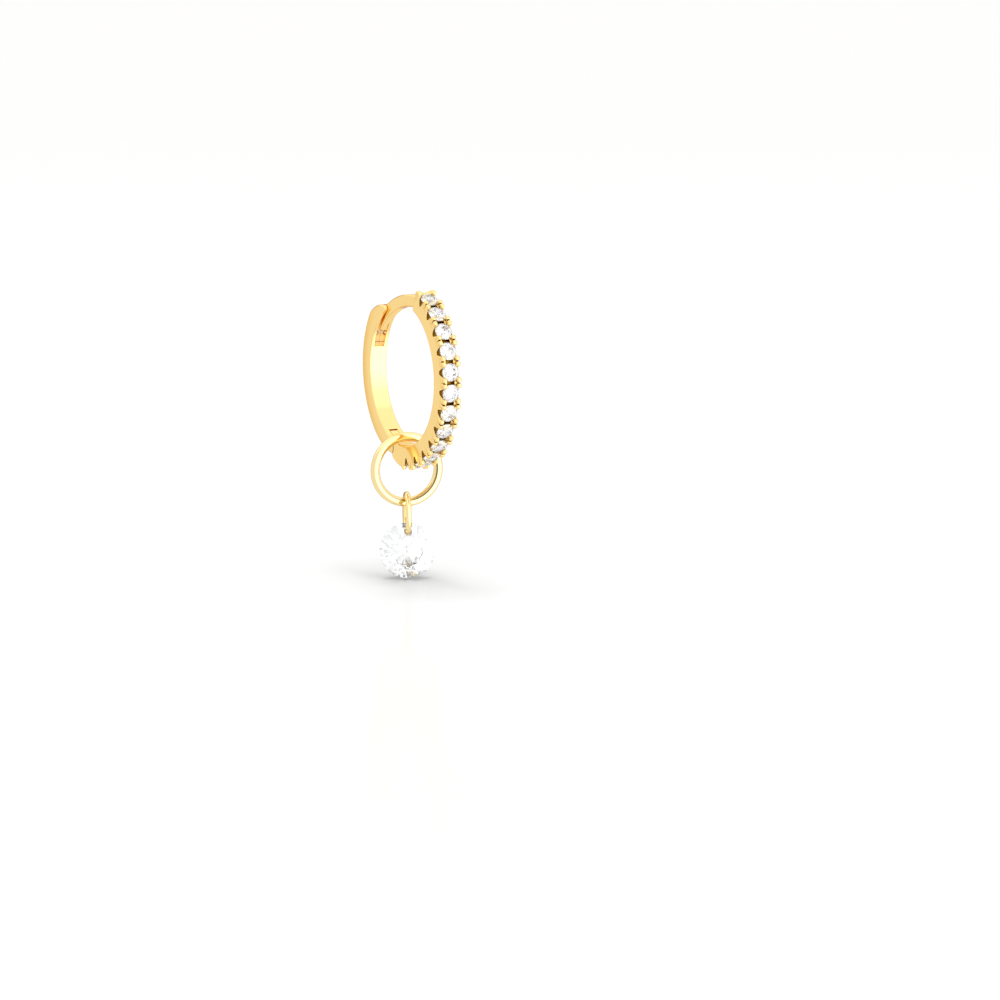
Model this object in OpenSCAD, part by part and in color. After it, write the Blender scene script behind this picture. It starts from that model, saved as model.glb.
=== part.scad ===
// Hinged huggie hoop earring with a row of claw-set round stones and a hanging stone charm.
// The hoop stands in the XZ plane, its stones towards +X, and its axis lies along Y.
// The origin is the middle of the ear wire, straight above the hoop's centre.
// Angles round the hoop run from +X towards +Z, in degrees.

/* [Hoop] */
// Radius of the inside of the hoop
hoop_inner_r = 5.05; // [4.6:0.05:6.5]
// Thickness of the plain back half, from inside to outside
plain_wall = 1.42; // [1.3:0.02:1.8]
// Thickness of the stone-set front half, from inside to its rim
set_wall = 1.38; // [1.3:0.02:1.7]
// Width of the band along the hoop's axis
band_w = 1.33; // [1.28:0.01:1.7]
// Radius of the band's rounded long edges
edge_r = 0.08; // [0.03:0.01:0.15]
// Angle at which the front half ends at the top
front_top_deg = 69.3; // [68.5:0.1:71]
// Angle of the blunt inner end of the back half's top
back_top_deg = 122; // [118:0.5:124]
// Height of the back half's flat top above the hoop's centre
back_top_z = 4.57; // [4.4:0.01:4.8]
// Radius of the rounded outer corner of that top
back_corner_r = 0.8; // [0.3:0.05:1]

/* [Stone row] */
// Diameter of a stone in the row
stone_d = 1.25; // [1.1:0.01:1.3]
// Least space between two neighbouring stones
stone_space = 0.16; // [0.12:0.01:0.3]
// Angle of the first stone, at the top
first_stone_deg = 60.3; // [58:0.1:62]
// Angle of the last stone, at the bottom
last_stone_deg = -83.6; // [-85:0.1:-60]
// Height of a stone above its girdle
stone_crown = 0.19; // [0.14:0.01:0.24]
// Depth of a stone below its girdle
stone_pavilion = 0.5; // [0.4:0.01:0.55]
// Play between a stone and its seat
seat_play = 0.02; // [0.01:0.005:0.03]

/* [Claws] */
// Radius of a claw
claw_r = 0.18; // [0.15:0.01:0.2]
// Distance from a stone's axis to its claws, along the row
claw_along = 0.54; // [0.5:0.01:0.56]
// How far a claw stands proud of the band's side face
claw_proud = 0.035; // [0.02:0.005:0.06]
// Height of a claw's tip above the girdle
claw_tip = 0.31; // [0.26:0.01:0.4]
// Length of a claw
claw_len = 0.62; // [0.5:0.01:0.8]
// Half width of the scallop cut into the side at each stone
scallop_r = 0.26; // [0.2:0.01:0.3]
// Depth of the scallop's middle below the girdle
scallop_drop = 0.2; // [0.15:0.01:0.28]
// Width of the saw cut that splits a pair of claws
split_w = 0.07; // [0.04:0.01:0.1]

/* [Ear wire and clasp] */
// Radius of the ear wire's arch, to its middle line
arch_r = 7.8; // [7.4:0.1:8.4]
// Height of the ear wire's middle line above the inside of the hoop, straight above the centre
arch_rise = 0.15; // [0.1:0.01:0.3]
// How far the arch's highest point lies in front of the hoop's centre
arch_forward = 1.05; // [0.9:0.05:1.2]
// Width of the ear wire along the hoop's axis
wire_w = 0.66; // [0.5:0.01:0.75]
// Thickness of the ear wire
wire_t = 0.87; // [0.7:0.01:0.95]
// Angle round the hoop of the wire's tip
wire_tip_deg = 146.3; // [143:0.1:149]
// Gap between the wire and each side of the clasp slot
slot_gap = 0.04; // [0.03:0.01:0.08]
// Thickness of the outer wall left behind the clasp slot
slot_back_wall = 0.59; // [0.45:0.01:0.62]
// Angle round the hoop of the slot's lower end
slot_end_deg = 164; // [160:0.5:168]
// Radius of the catch ridge on the slot's floor
catch_r = 0.2; // [0.1:0.01:0.24]

/* [Hinge] */
// Angle round the hoop of the hinge pin
hinge_deg = 246.5; // [244:0.1:249]
// Depth of the hinge pin below the inside of the hoop
pin_depth = 0.67; // [0.6:0.01:0.7]
// Diameter of the hinge pin
pin_d = 0.4; // [0.3:0.01:0.44]
// Radial running gap round the pin, and beside the tongue
hinge_gap = 0.02; // [0.015:0.005:0.04]
// Width of the front half's hinge tongue
tongue_w = 0.6; // [0.5:0.01:0.7]
// Radius of the two cheeks' round ends about the pin
cheek_r = 0.93; // [0.88:0.01:0.98]
// Angle from the pin to the end of the tongue
tongue_deg = 8.3; // [8:0.1:8.5]
// How much thinner the band is at the hinge
hinge_thin = 0.32; // [0.2:0.01:0.36]

/* [Charm rings] */
// Outer diameter of the carrier ring
carrier_od = 5.34; // [4.8:0.02:6]
// Wire diameter of the carrier ring
carrier_wire = 0.65; // [0.5:0.01:0.8]
// Place of the carrier ring along X
charm_x = -0.5; // [-0.7:0.05:0.3]
// Turn of the carrier ring about the vertical
carrier_turn = -8; // [-12:1:12]
// Outer diameter of the bail ring
bail_od = 3.11; // [3.0:0.01:3.4]
// Wire diameter of the bail ring
bail_wire = 0.41; // [0.3:0.01:0.44]
// Turn of the bail ring and its stone about the vertical
bail_turn = -21; // [-25:1:10]
// Air left where one link rests on another
link_gap = 0.02; // [0.01:0.01:0.05]

/* [Drop stone] */
// Diameter of the drop stone
drop_d = 4; // [3.6:0.05:5]
// Height of its crown above the girdle
drop_crown = 0.56; // [0.4:0.02:0.64]
// Thickness of its girdle
drop_girdle = 0.1; // [0.06:0.01:0.14]
// Depth of its pavilion below the girdle
drop_pavilion = 1.6; // [1.4:0.02:1.8]
// Radius of the hole drilled through it
drop_hole_r = 0.3; // [0.28:0.01:0.36]
// Stone left between the hole and the edge
drop_hole_wall = 0.325; // [0.26:0.005:0.5]

/* [Hidden] */
$fn = 96;
gold = [0.93, 0.74, 0.38];
clear = [0.93, 0.95, 0.98];
far = 12;                        // reach of a cutter past everything
overlap = 0.1;                   // how far one cut runs into the next
overlap_deg = 0.3;

plain_outer_r = hoop_inner_r + plain_wall;
set_outer_r = hoop_inner_r + set_wall;

// The girdles lie level with the set half's rim.
girdle_r = set_outer_r;
stone_girdle = 0.03;
table_share = 0.56;
row_deg = first_stone_deg - last_stone_deg;
row_len = row_deg * PI / 180 * girdle_r;
stone_count = floor(row_len / (stone_d + stone_space)) + 1;
stone_step = row_deg / (stone_count - 1);
well_r = 0.72 * stone_d / 2;     // hollow under a stone, inside its bearing
well_floor = stone_pavilion + 0.06;
claw_y = band_w / 2 + claw_proud - claw_r;
pocket_depth = 0.3;              // dark pocket between two stones, below the girdle
pocket_w = 0.2;
pocket_y = claw_y - claw_r + 0.02;
split_depth = 0.1;

// Collar behind the first stone and tail past the last one.
collar_r = 0.36;
collar_rise = 0.26;              // collar's top above the girdle
collar_deg = first_stone_deg + (stone_d / 2 + 0.055) / girdle_r * 180 / PI;
tail_rise = 0.17;                // tail's top above the rim, just past the last stone
tail_deg = last_stone_deg - 4.4;
tail_start_deg = last_stone_deg - 5.2;

arch_c = [arch_forward, hoop_inner_r + arch_rise - sqrt(pow(arch_r, 2) - pow(arch_forward, 2))];
wire_top_z = hoop_inner_r + arch_rise;
slot_floor_r = plain_outer_r - slot_back_wall;
slot_w = wire_w + 2 * slot_gap;
catch_deg = slot_end_deg - 7;
catch_sink = 0.04;               // depth of the catch ridge's axis below the slot's floor

pin_c = (hoop_inner_r + pin_depth) * unit(hinge_deg);
web_deg = hinge_deg - tongue_deg - overlap_deg;   // where the cheeks' slot ends

// Towards the seam the outlines of both halves draw in by hinge_thin, each along an arc that
// leaves its outer radius without a corner.
seam_deg = hinge_deg + 7.5;
past_hinge_deg = hinge_deg + 12; // how far both outlines are drawn before they are cut round
seam_r = plain_outer_r - hinge_thin;
thin_deg = 220;
thin_shift = draw_in(plain_outer_r, seam_r, seam_deg - thin_deg);
tail_top_r = set_outer_r + tail_rise;
tail_shift = draw_in(tail_top_r, seam_r, tail_deg + 360 - seam_deg);

carrier_r = (carrier_od - carrier_wire) / 2;
carrier_inner_r = carrier_r - carrier_wire / 2;
bail_r = (bail_od - bail_wire) / 2;

// The carrier ring rests on the two inner edges of the band, the bail on the carrier ring,
// and the drop stone on the bail.
rest_y = band_w / 2;
rest_x = abs(charm_x) + rest_y * sin(abs(carrier_turn));
rest_z = -sqrt(pow(hoop_inner_r, 2) - pow(rest_x, 2));
carrier_z = rest_z - sqrt(pow(carrier_inner_r, 2) - pow(rest_y / cos(carrier_turn), 2)) + 2 * link_gap;
carrier_low_z = carrier_z - carrier_r;
bail_z = carrier_low_z + (carrier_wire + bail_wire) / 2 + link_gap - bail_r;
bail_low_z = bail_z - bail_r;
hole_ease = 0.015;               // more air in the hole, because the bail's wire is curved there
hole_z = bail_low_z + drop_hole_r - bail_wire / 2 - link_gap - hole_ease;
drop_z = hole_z - (drop_d / 2 - drop_hole_wall - drop_hole_r);

stone_names = [for (i = [1 : stone_count]) str("stone_", i < 10 ? "0" : "", i)];

function unit(deg) = [cos(deg), sin(deg)];
// How far from the hoop's centre lies the centre of an arc that touches the circle of radius
// from_r and, turn degrees on, has come in to to_r.
function draw_in(from_r, to_r, turn) =
    (pow(from_r, 2) - pow(to_r, 2)) / (2 * (from_r - to_r * cos(turn)));
function stone_angle(i) = first_stone_deg - i * stone_step;

// Heights of the centroids of a cut stone's crown, girdle and pavilion, weighed by volume.
function crown_volume(r, t, h) = PI * h / 3 * (r * r + r * t + t * t);
function crown_centroid(r, t, h) = h / 4 * (r * r + 2 * r * t + 3 * t * t) / (r * r + r * t + t * t);
function gem_centroid(r, t, crown, girdle, pavilion) =
    (crown_volume(r, t, crown) * (girdle / 2 + crown_centroid(r, t, crown))
     - PI * r * r * pavilion / 3 * (girdle / 2 + pavilion / 4))
    / (crown_volume(r, t, crown) + PI * r * r * (girdle + pavilion / 3));
drop_centroid = gem_centroid(drop_d / 2, table_share * drop_d / 2, drop_crown, drop_girdle,
                             drop_pavilion);

// Stands a flat outline, drawn in the hoop's plane, up as a plate of the given width.
module upright(width) {
    rotate([90, 0, 0]) linear_extrude(width, center = true) children();
}

// Turns a section, drawn at its radius, round the hoop's axis between two angles.
module round_hoop(from_deg, to_deg) {
    rotate([90, 0, 0]) rotate([0, 0, from_deg]) rotate_extrude(angle = to_deg - from_deg) children();
}

module wedge(centre, from_deg, to_deg, reach = far) {
    middle_deg = (from_deg + to_deg) / 2;
    translate(centre)
        polygon([[0, 0], reach * unit(from_deg), 1.5 * reach * unit(middle_deg), reach * unit(to_deg)]);
}

module sector(inner_r, outer_r, from_deg, to_deg) {
    intersection() {
        difference() {
            circle(outer_r);
            circle(inner_r);
        }
        wedge([0, 0], from_deg, to_deg);
    }
}

// What lies outside a round corner, to be cut away.
module corner_waste(centre, r, from_deg, to_deg) {
    difference() {
        wedge(centre, from_deg, to_deg);
        translate(centre) circle(r);
    }
}

module rounded_rect(size, r) {
    for (sx = [-1, 1], sy = [-1, 1])
        translate([sx * (size[0] / 2 - r), sy * (size[1] / 2 - r)]) circle(r);
    square([size[0] - 2 * r, size[1]], center = true);
    square([size[0], size[1] - 2 * r], center = true);
}

module band_section(wall) {
    translate([hoop_inner_r + wall / 2, 0]) rounded_rect([wall, band_w], edge_r);
}

// Moves what is drawn round a stone's axis, its table up, to an angle on the girdle circle.
module at_row(deg) {
    rotate([0, 90 - deg, 0]) translate([0, 0, girdle_r]) children();
}

// A round brilliant with its table up and its girdle's middle at the origin. All its facets are
// flat: the table, 8 stars, 8 kites and 16 upper halves, the girdle, 16 lower halves and 8 mains.
module brilliant(d, table_r, crown, girdle, pavilion) {
    r = d / 2;
    star_r = (table_r * cos(22.5) + r) / 2;
    low_r = 0.25 * r;
    star_z = girdle / 2 + crown * (r - star_r * cos(22.5)) / (r - table_r);
    low_z = -girdle / 2 - pavilion * (1 - low_r * cos(22.5) / r);
    ring8 = [0 : 7];
    ring16 = [0 : 15];
    table = 0;
    star = 8;
    top = 16;
    bottom = 32;
    low = 48;
    culet = 56;
    points = concat(
        [for (k = ring8) let (u = unit(45 * k)) [table_r * u[0], table_r * u[1], girdle / 2 + crown]],
        [for (k = ring8) let (u = unit(45 * k + 22.5)) [star_r * u[0], star_r * u[1], star_z]],
        [for (j = ring16) let (u = unit(22.5 * j)) [r * u[0], r * u[1], girdle / 2]],
        [for (j = ring16) let (u = unit(22.5 * j)) [r * u[0], r * u[1], -girdle / 2]],
        [for (k = ring8) let (u = unit(45 * k + 22.5)) [low_r * u[0], low_r * u[1], low_z]],
        [[0, 0, -girdle / 2 - pavilion]]);
    faces = concat(
        [[for (k = ring8) table + 7 - k]],
        [for (k = ring8) [table + k, table + (k + 1) % 8, star + k]],
        [for (k = ring8) [table + k, star + k, top + 2 * k, star + (k + 7) % 8]],
        [for (k = ring8) [star + k, top + 2 * k + 1, top + 2 * k]],
        [for (k = ring8) [star + k, top + (2 * k + 2) % 16, top + 2 * k + 1]],
        [for (j = ring16) [top + j, top + (j + 1) % 16, bottom + (j + 1) % 16, bottom + j]],
        [for (k = ring8) [low + k, bottom + 2 * k, bottom + 2 * k + 1]],
        [for (k = ring8) [low + k, bottom + 2 * k + 1, bottom + (2 * k + 2) % 16]],
        [for (k = ring8) [culet, low + (k + 7) % 8, bottom + 2 * k, low + k]]);
    polyhedron(points, faces);
}

module row_stone(i) {
    color(clear) at_row(stone_angle(i))
        brilliant(stone_d, table_share * stone_d / 2, stone_crown, stone_girdle, stone_pavilion);
}

// Room for one stone: a well, the bearing under the girdle, and the cone over the crown.
module stone_seat() {
    r = stone_d / 2;
    half = stone_girdle / 2 + seat_play;
    bearing_z = -half - stone_pavilion * (1 - well_r / r);
    open_r = table_share * r + seat_play;
    rotate_extrude()
        polygon([
            [0, -well_floor], [well_r, -well_floor], [well_r, bearing_z], [r + seat_play, -half],
            [r + seat_play, half], [open_r, half + stone_crown], [open_r, far], [0, far]]);
}

// One claw: a round-ended post that stands along the stone's axis.
module claw() {
    translate([0, 0, claw_tip - claw_len])
        rotate_extrude()
            intersection() {
                union() {
                    translate([0, claw_r]) circle(claw_r);
                    translate([0, claw_len - claw_r]) circle(claw_r);
                    translate([0, claw_r]) square([claw_r, claw_len - 2 * claw_r]);
                }
                square([claw_r, claw_len]);
            }
}

module claws() {
    for (along = [-1, 1], side = [-1, 1])
        translate([along * claw_along, side * claw_y, 0]) claw();
}

// The scallop cut through each side wall beside a stone, open to the rim.
module scallops() {
    inner_y = well_r - overlap;
    for (side = [-1, 1])
        translate([0, side * (inner_y + far / 2), -scallop_drop]) {
            rotate([90, 0, 0]) cylinder(h = far, r = scallop_r, center = true);
            translate([-scallop_r, -far / 2, 0]) cube([2 * scallop_r, far, far]);
        }
}

// The pocket between two stones and the saw cut that splits each pair of claws.
module claw_split() {
    translate([-pocket_w / 2, -pocket_y, -pocket_depth]) cube([pocket_w, 2 * pocket_y, far]);
    translate([-split_w / 2, -band_w, -split_depth]) cube([split_w, 2 * band_w, far]);
}

// The ear wire: an arch with a round tip.
module ear_wire() {
    tip_deg = arch_angle(wire_tip_deg);
    root_deg = arch_angle(front_top_deg - 3);
    translate([arch_c[0], 0, arch_c[1]]) {
        round_hoop(root_deg, tip_deg)
            translate([arch_r, 0]) rounded_rect([wire_t, wire_w], edge_r);
        translate([arch_r * cos(tip_deg), 0, arch_r * sin(tip_deg)])
            rotate([90, 0, 0]) cylinder(h = wire_w, r = wire_t / 2, center = true);
    }
}

// Angle about the arch's own centre of the middle-line point that lies at an angle round the hoop.
function arch_angle(deg) =
    let (along = arch_c * unit(deg),
         reach = along + sqrt(pow(along, 2) + pow(arch_r, 2) - arch_c * arch_c),
         p = reach * unit(deg) - arch_c)
    atan2(p[1], p[0]);

// The tongue of the hinge: flush with the band inside, and round about the pin outside.
module tongue_outline() {
    end_deg = hinge_deg - tongue_deg;
    difference() {
        intersection() {
            sector(hoop_inner_r, plain_outer_r, end_deg, past_hinge_deg);
            translate(thin_shift * unit(thin_deg)) circle(plain_outer_r - thin_shift);
        }
        corner_waste(pin_c, (hoop_inner_r + pin_depth) * sin(tongue_deg), end_deg - 90, hinge_deg);
    }
}

module tail_outline() {
    intersection() {
        sector(hoop_inner_r, tail_top_r, hinge_deg - 360, tail_start_deg);
        translate(tail_shift * unit(tail_deg)) circle(tail_top_r - tail_shift);
    }
}

module pin_bore() {
    translate([pin_c[0], 0, pin_c[1]])
        rotate([90, 0, 0]) cylinder(h = 2 * band_w, r = pin_d / 2 + hinge_gap, center = true);
}

// The stone-set half, the ear wire and the hinge tongue, cast in one piece.
module front_half() {
    color(gold) difference() {
        union() {
            difference() {
                union() {
                    round_hoop(tail_start_deg - overlap_deg, front_top_deg) band_section(set_wall);
                    upright(band_w) tail_outline();
                    upright(band_w - 2 * edge_r)
                        translate((girdle_r + collar_rise - collar_r) * unit(collar_deg))
                            circle(collar_r);
                }
                upright(2 * band_w) translate(pin_c) circle(cheek_r + hinge_gap);
            }
            for (i = [0 : stone_count - 1]) at_row(stone_angle(i)) claws();
            ear_wire();
            upright(tongue_w) tongue_outline();
        }
        for (i = [0 : stone_count - 1]) at_row(stone_angle(i)) {
            stone_seat();
            scallops();
        }
        for (i = [0 : stone_count - 2]) at_row(stone_angle(i + 0.5)) claw_split();
        pin_bore();
    }
}

// Flat outline of the plain half, with its flat top, round corner and thinned hinge end.
module back_outline() {
    corner_c = [
        -sqrt(pow(plain_outer_r - back_corner_r, 2) - pow(back_top_z - back_corner_r, 2)),
        back_top_z - back_corner_r];
    difference() {
        intersection() {
            sector(hoop_inner_r, plain_outer_r, back_top_deg, past_hinge_deg);
            translate([-far, -far]) square([far, far + back_top_z]);
        }
        corner_waste(corner_c, back_corner_r, 90, atan2(corner_c[1], corner_c[0]));
        corner_waste(thin_shift * unit(thin_deg), plain_outer_r - thin_shift, thin_deg, thin_deg + 55);
        difference() {
            wedge([0, 0], hinge_deg, past_hinge_deg + overlap_deg);
            translate(pin_c) circle(cheek_r);
        }
    }
}

// The plain half: the clasp slot with its catch at the top, and the two hinge cheeks below.
module back_half() {
    color(gold) {
        difference() {
            intersection() {
                upright(band_w) back_outline();
                round_hoop(90, past_hinge_deg + overlap_deg) band_section(plain_wall);
            }
            upright(slot_w) sector(hoop_inner_r / 2, slot_floor_r, 90, slot_end_deg);
            upright(tongue_w + 2 * hinge_gap) wedge([0, 0], web_deg, past_hinge_deg + overlap_deg);
            pin_bore();
        }
        difference() {
            upright(slot_w + edge_r)
                translate((slot_floor_r + catch_sink) * unit(catch_deg)) circle(catch_r);
            upright(band_w) difference() {
                circle(far);
                circle(slot_floor_r + catch_r);
            }
        }
    }
}

module hinge_pin() {
    color(gold) translate([pin_c[0], 0, pin_c[1]])
        rotate([90, 0, 0]) cylinder(h = band_w, r = pin_d / 2, center = true);
}

module wire_ring(mean_r, wire_d) {
    rotate_extrude() translate([mean_r, 0]) circle(wire_d / 2);
}

module carrier_ring() {
    color(gold) translate([charm_x, 0, carrier_z])
        rotate([0, 0, carrier_turn]) rotate([0, 90, 0]) wire_ring(carrier_r, carrier_wire);
}

module bail_ring() {
    color(gold) translate([charm_x, 0, bail_z])
        rotate([0, 0, bail_turn]) rotate([90, 0, 0]) wire_ring(bail_r, bail_wire);
}

// The drop stone faces along its own axis and hangs with its weight under the bail.
module drop_stone() {
    hole_up = hole_z - drop_z;
    color(clear) translate([charm_x, 0, drop_z]) rotate([0, 0, bail_turn]) rotate([0, 90, 0])
        translate([0, 0, -drop_centroid]) difference() {
            brilliant(drop_d, table_share * drop_d / 2, drop_crown, drop_girdle, drop_pavilion);
            translate([-hole_up, 0, 0]) cylinder(h = 2 * drop_d, r = drop_hole_r, center = true);
        }
}

translate([0, 0, -wire_top_z]) {
    front_half();
    back_half();
    hinge_pin();
    carrier_ring();
    bail_ring();
    drop_stone();
    for (i = [0 : stone_count - 1])
        row_stone(i);
}
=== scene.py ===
import logging
import math
from dataclasses import dataclass, field
from enum import Enum, IntEnum

import bmesh
import bpy
import numpy as np
from bmesh.types import BMEdge, BMesh
from bpy.types import Material, Mesh, Node, NodeSocket, NodeTree, Object
from mathutils import Matrix, Vector


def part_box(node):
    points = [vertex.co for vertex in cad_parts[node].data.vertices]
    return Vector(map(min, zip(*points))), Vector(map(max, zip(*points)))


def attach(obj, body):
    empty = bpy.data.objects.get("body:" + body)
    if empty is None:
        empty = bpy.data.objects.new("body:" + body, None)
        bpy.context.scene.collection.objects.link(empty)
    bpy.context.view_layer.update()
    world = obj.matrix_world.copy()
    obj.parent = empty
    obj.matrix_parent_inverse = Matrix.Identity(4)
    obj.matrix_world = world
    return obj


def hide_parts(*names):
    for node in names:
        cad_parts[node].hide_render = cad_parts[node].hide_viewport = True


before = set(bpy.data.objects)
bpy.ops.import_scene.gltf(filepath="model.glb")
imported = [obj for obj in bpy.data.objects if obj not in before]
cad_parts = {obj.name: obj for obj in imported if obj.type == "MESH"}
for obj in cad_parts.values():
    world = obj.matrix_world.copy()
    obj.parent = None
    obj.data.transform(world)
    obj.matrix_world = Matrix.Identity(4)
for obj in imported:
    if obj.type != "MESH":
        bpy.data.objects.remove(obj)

log = logging.getLogger("hoop_charm_earring")

MM = 0.001
RGB = tuple[float, float, float]
RGBA = tuple[float, float, float, float]
WHITE = (1.0, 1.0, 1.0, 1.0)
BLACK = (0.0, 0.0, 0.0, 1.0)


class Side(Enum):
    """The body that a piece of the earring moves with."""

    FRONT = "hoop_front"
    BACK = "hoop_back"
    CARRIER = "carrier"
    BAIL = "bail"
    DROP = "drop"


class Slot(Enum):
    """The material slot of the part that a piece belongs to."""

    GOLD = "gold"
    ROW_STONE = "row_stone"
    DROP_STONE = "drop_stone"


class StoneFace(IntEnum):
    """The kinds of faces on a stone, in the order of its finishes."""

    FACET = 0
    GIRDLE = 1
    BORE = 2


class SocketKind(Enum):
    """What an input or output of a shader group carries."""

    FLOAT = "NodeSocketFloat"
    COLOR = "NodeSocketColor"
    VECTOR = "NodeSocketVector"


# Distance fields, in millimetres from the hoop's centre


def round_and(a: np.ndarray, b: np.ndarray, radius: float) -> np.ndarray:
    """What two solids share, with the edge between them rounded.

    Args:
        a: Distances to the first solid, negative inside.
        b: Distances to the second solid.
        radius: Radius of the rounded edge.

    Returns:
        Distances to the shared solid.
    """
    corner = np.hypot(np.maximum(a + radius, 0), np.maximum(b + radius, 0))
    return np.minimum(np.maximum(a, b), -radius) + corner


def round_or(a: np.ndarray, b: np.ndarray, radius: float) -> np.ndarray:
    """Two solids joined, with a fillet of that radius in the corner between them."""
    return -round_and(-a, -b, radius)


def round_cut(a: np.ndarray, b: np.ndarray, radius: float) -> np.ndarray:
    """Solid a with solid b cut away, and the edge of the cut rounded."""
    return round_and(a, -b, radius)


def unit(deg: float) -> np.ndarray:
    """Direction in the hoop's plane at an angle from +X towards +Z."""
    return np.array([math.cos(math.radians(deg)), math.sin(math.radians(deg))])


def half_turn(angle: np.ndarray) -> np.ndarray:
    """Angles in radians, brought within half a turn of zero."""
    return (angle + math.pi) % (2 * math.pi) - math.pi


@dataclass(frozen=True)
class HoopPoint:
    """Points to measure, with their places round the hoop.

    Args:
        x: Across the hoop, towards the stones.
        y: Along the hoop's axis.
        z: Upwards from the hoop's centre.
    """

    x: np.ndarray
    y: np.ndarray
    z: np.ndarray

    @classmethod
    def rows(cls, xyz: np.ndarray) -> "HoopPoint":
        """The points of an array with a row for each."""
        return cls(xyz[:, 0], xyz[:, 1], xyz[:, 2])

    @property
    def side(self) -> np.ndarray:
        """Distance from the hoop's own plane."""
        return np.abs(self.y)

    @property
    def radius(self) -> np.ndarray:
        """Distance from the hoop's axis."""
        return np.hypot(self.x, self.z)

    def angle(self, middle: float) -> np.ndarray:
        """Angle round the hoop in degrees, within half a turn of the middle one."""
        deg = np.degrees(np.arctan2(self.z, self.x))
        return (deg - middle + 180.0) % 360.0 - 180.0 + middle

    def past(self, deg: np.ndarray, limit: float) -> np.ndarray:
        """How far a point lies past the radial plane at an angle, in millimetres."""
        turn = np.clip(deg - limit, -90.0, 90.0)
        return self.radius * np.sin(np.radians(turn))

    def from_point(self, centre: np.ndarray) -> np.ndarray:
        """Distance in the hoop's plane from a point given as (x, z)."""
        return np.hypot(self.x - centre[0], self.z - centre[1])


@dataclass(frozen=True)
class Hoop:
    """Sizes that both halves of the hoop share, in millimetres and degrees."""

    # The band
    inner_r: float = 5.05
    plain_wall: float = 1.42
    set_wall: float = 1.38
    width: float = 1.33
    edge: float = 0.1
    # The ear wire's arch and section
    arch_rise: float = 0.15
    arch_r: float = 7.8
    arch_forward: float = 1.05
    wire_w: float = 0.66
    wire_t: float = 0.87
    # The hinge: pin, tongue, cheeks and the seam round them
    hinge_deg: float = 246.5
    pin_depth: float = 0.67
    pin_d: float = 0.4
    hinge_gap: float = 0.02
    tongue_w: float = 0.6
    cheek_r: float = 0.93
    tongue_deg: float = 8.3
    hinge_thin: float = 0.32
    seam_turn: float = 7.5
    # seam_width and seam_core set the painted shade line along the seam
    seam_width: float = 0.09
    seam_core: float = 1.6
    seam_open: float = 0.05
    # Where the plain half starts to thin, and the angle about which its places are counted
    thin_deg: float = 220.0
    far_deg: float = 190.0

    @property
    def plain_outer_r(self) -> float:
        """Outer radius of the plain half."""
        return self.inner_r + self.plain_wall

    @property
    def girdle_r(self) -> float:
        """Radius of the set half's rim, level with the girdles of its stones."""
        return self.inner_r + self.set_wall

    @property
    def seam_r(self) -> float:
        """Outer radius of both halves at the hinge, where the band is thinner."""
        return self.plain_outer_r - self.hinge_thin

    @property
    def centre_z(self) -> float:
        """Height of the hoop's centre in the row's frame, in millimetres."""
        return -(self.inner_r + self.arch_rise)

    @property
    def pin(self) -> np.ndarray:
        """Place of the hinge pin in the hoop's plane."""
        return (self.inner_r + self.pin_depth) * unit(self.hinge_deg)

    @property
    def arch_centre(self) -> np.ndarray:
        """Centre of the ear wire's arch in the hoop's plane."""
        drop = math.sqrt(self.arch_r**2 - self.arch_forward**2)
        return np.array([self.arch_forward, self.inner_r + self.arch_rise - drop])

    def drawn_in(self, from_r: float, turn: float) -> float:
        """Shift of the arc that leaves a radius smoothly and comes in to the seam.

        Args:
            from_r: Radius at which the arc starts.
            turn: Angle between its start and the seam, in degrees.

        Returns:
            Distance of the arc's centre from the hoop's centre.
        """
        bend = from_r - self.seam_r * math.cos(math.radians(turn))
        return (from_r**2 - self.seam_r**2) / (2 * bend)

    def thinned(self, p: HoopPoint) -> np.ndarray:
        """Distance from the arc on which the plain half thins towards the hinge."""
        shift = self.drawn_in(self.plain_outer_r, self.hinge_deg + self.seam_turn - self.thin_deg)
        return p.from_point(shift * unit(self.thin_deg)) - (self.plain_outer_r - shift)


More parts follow.
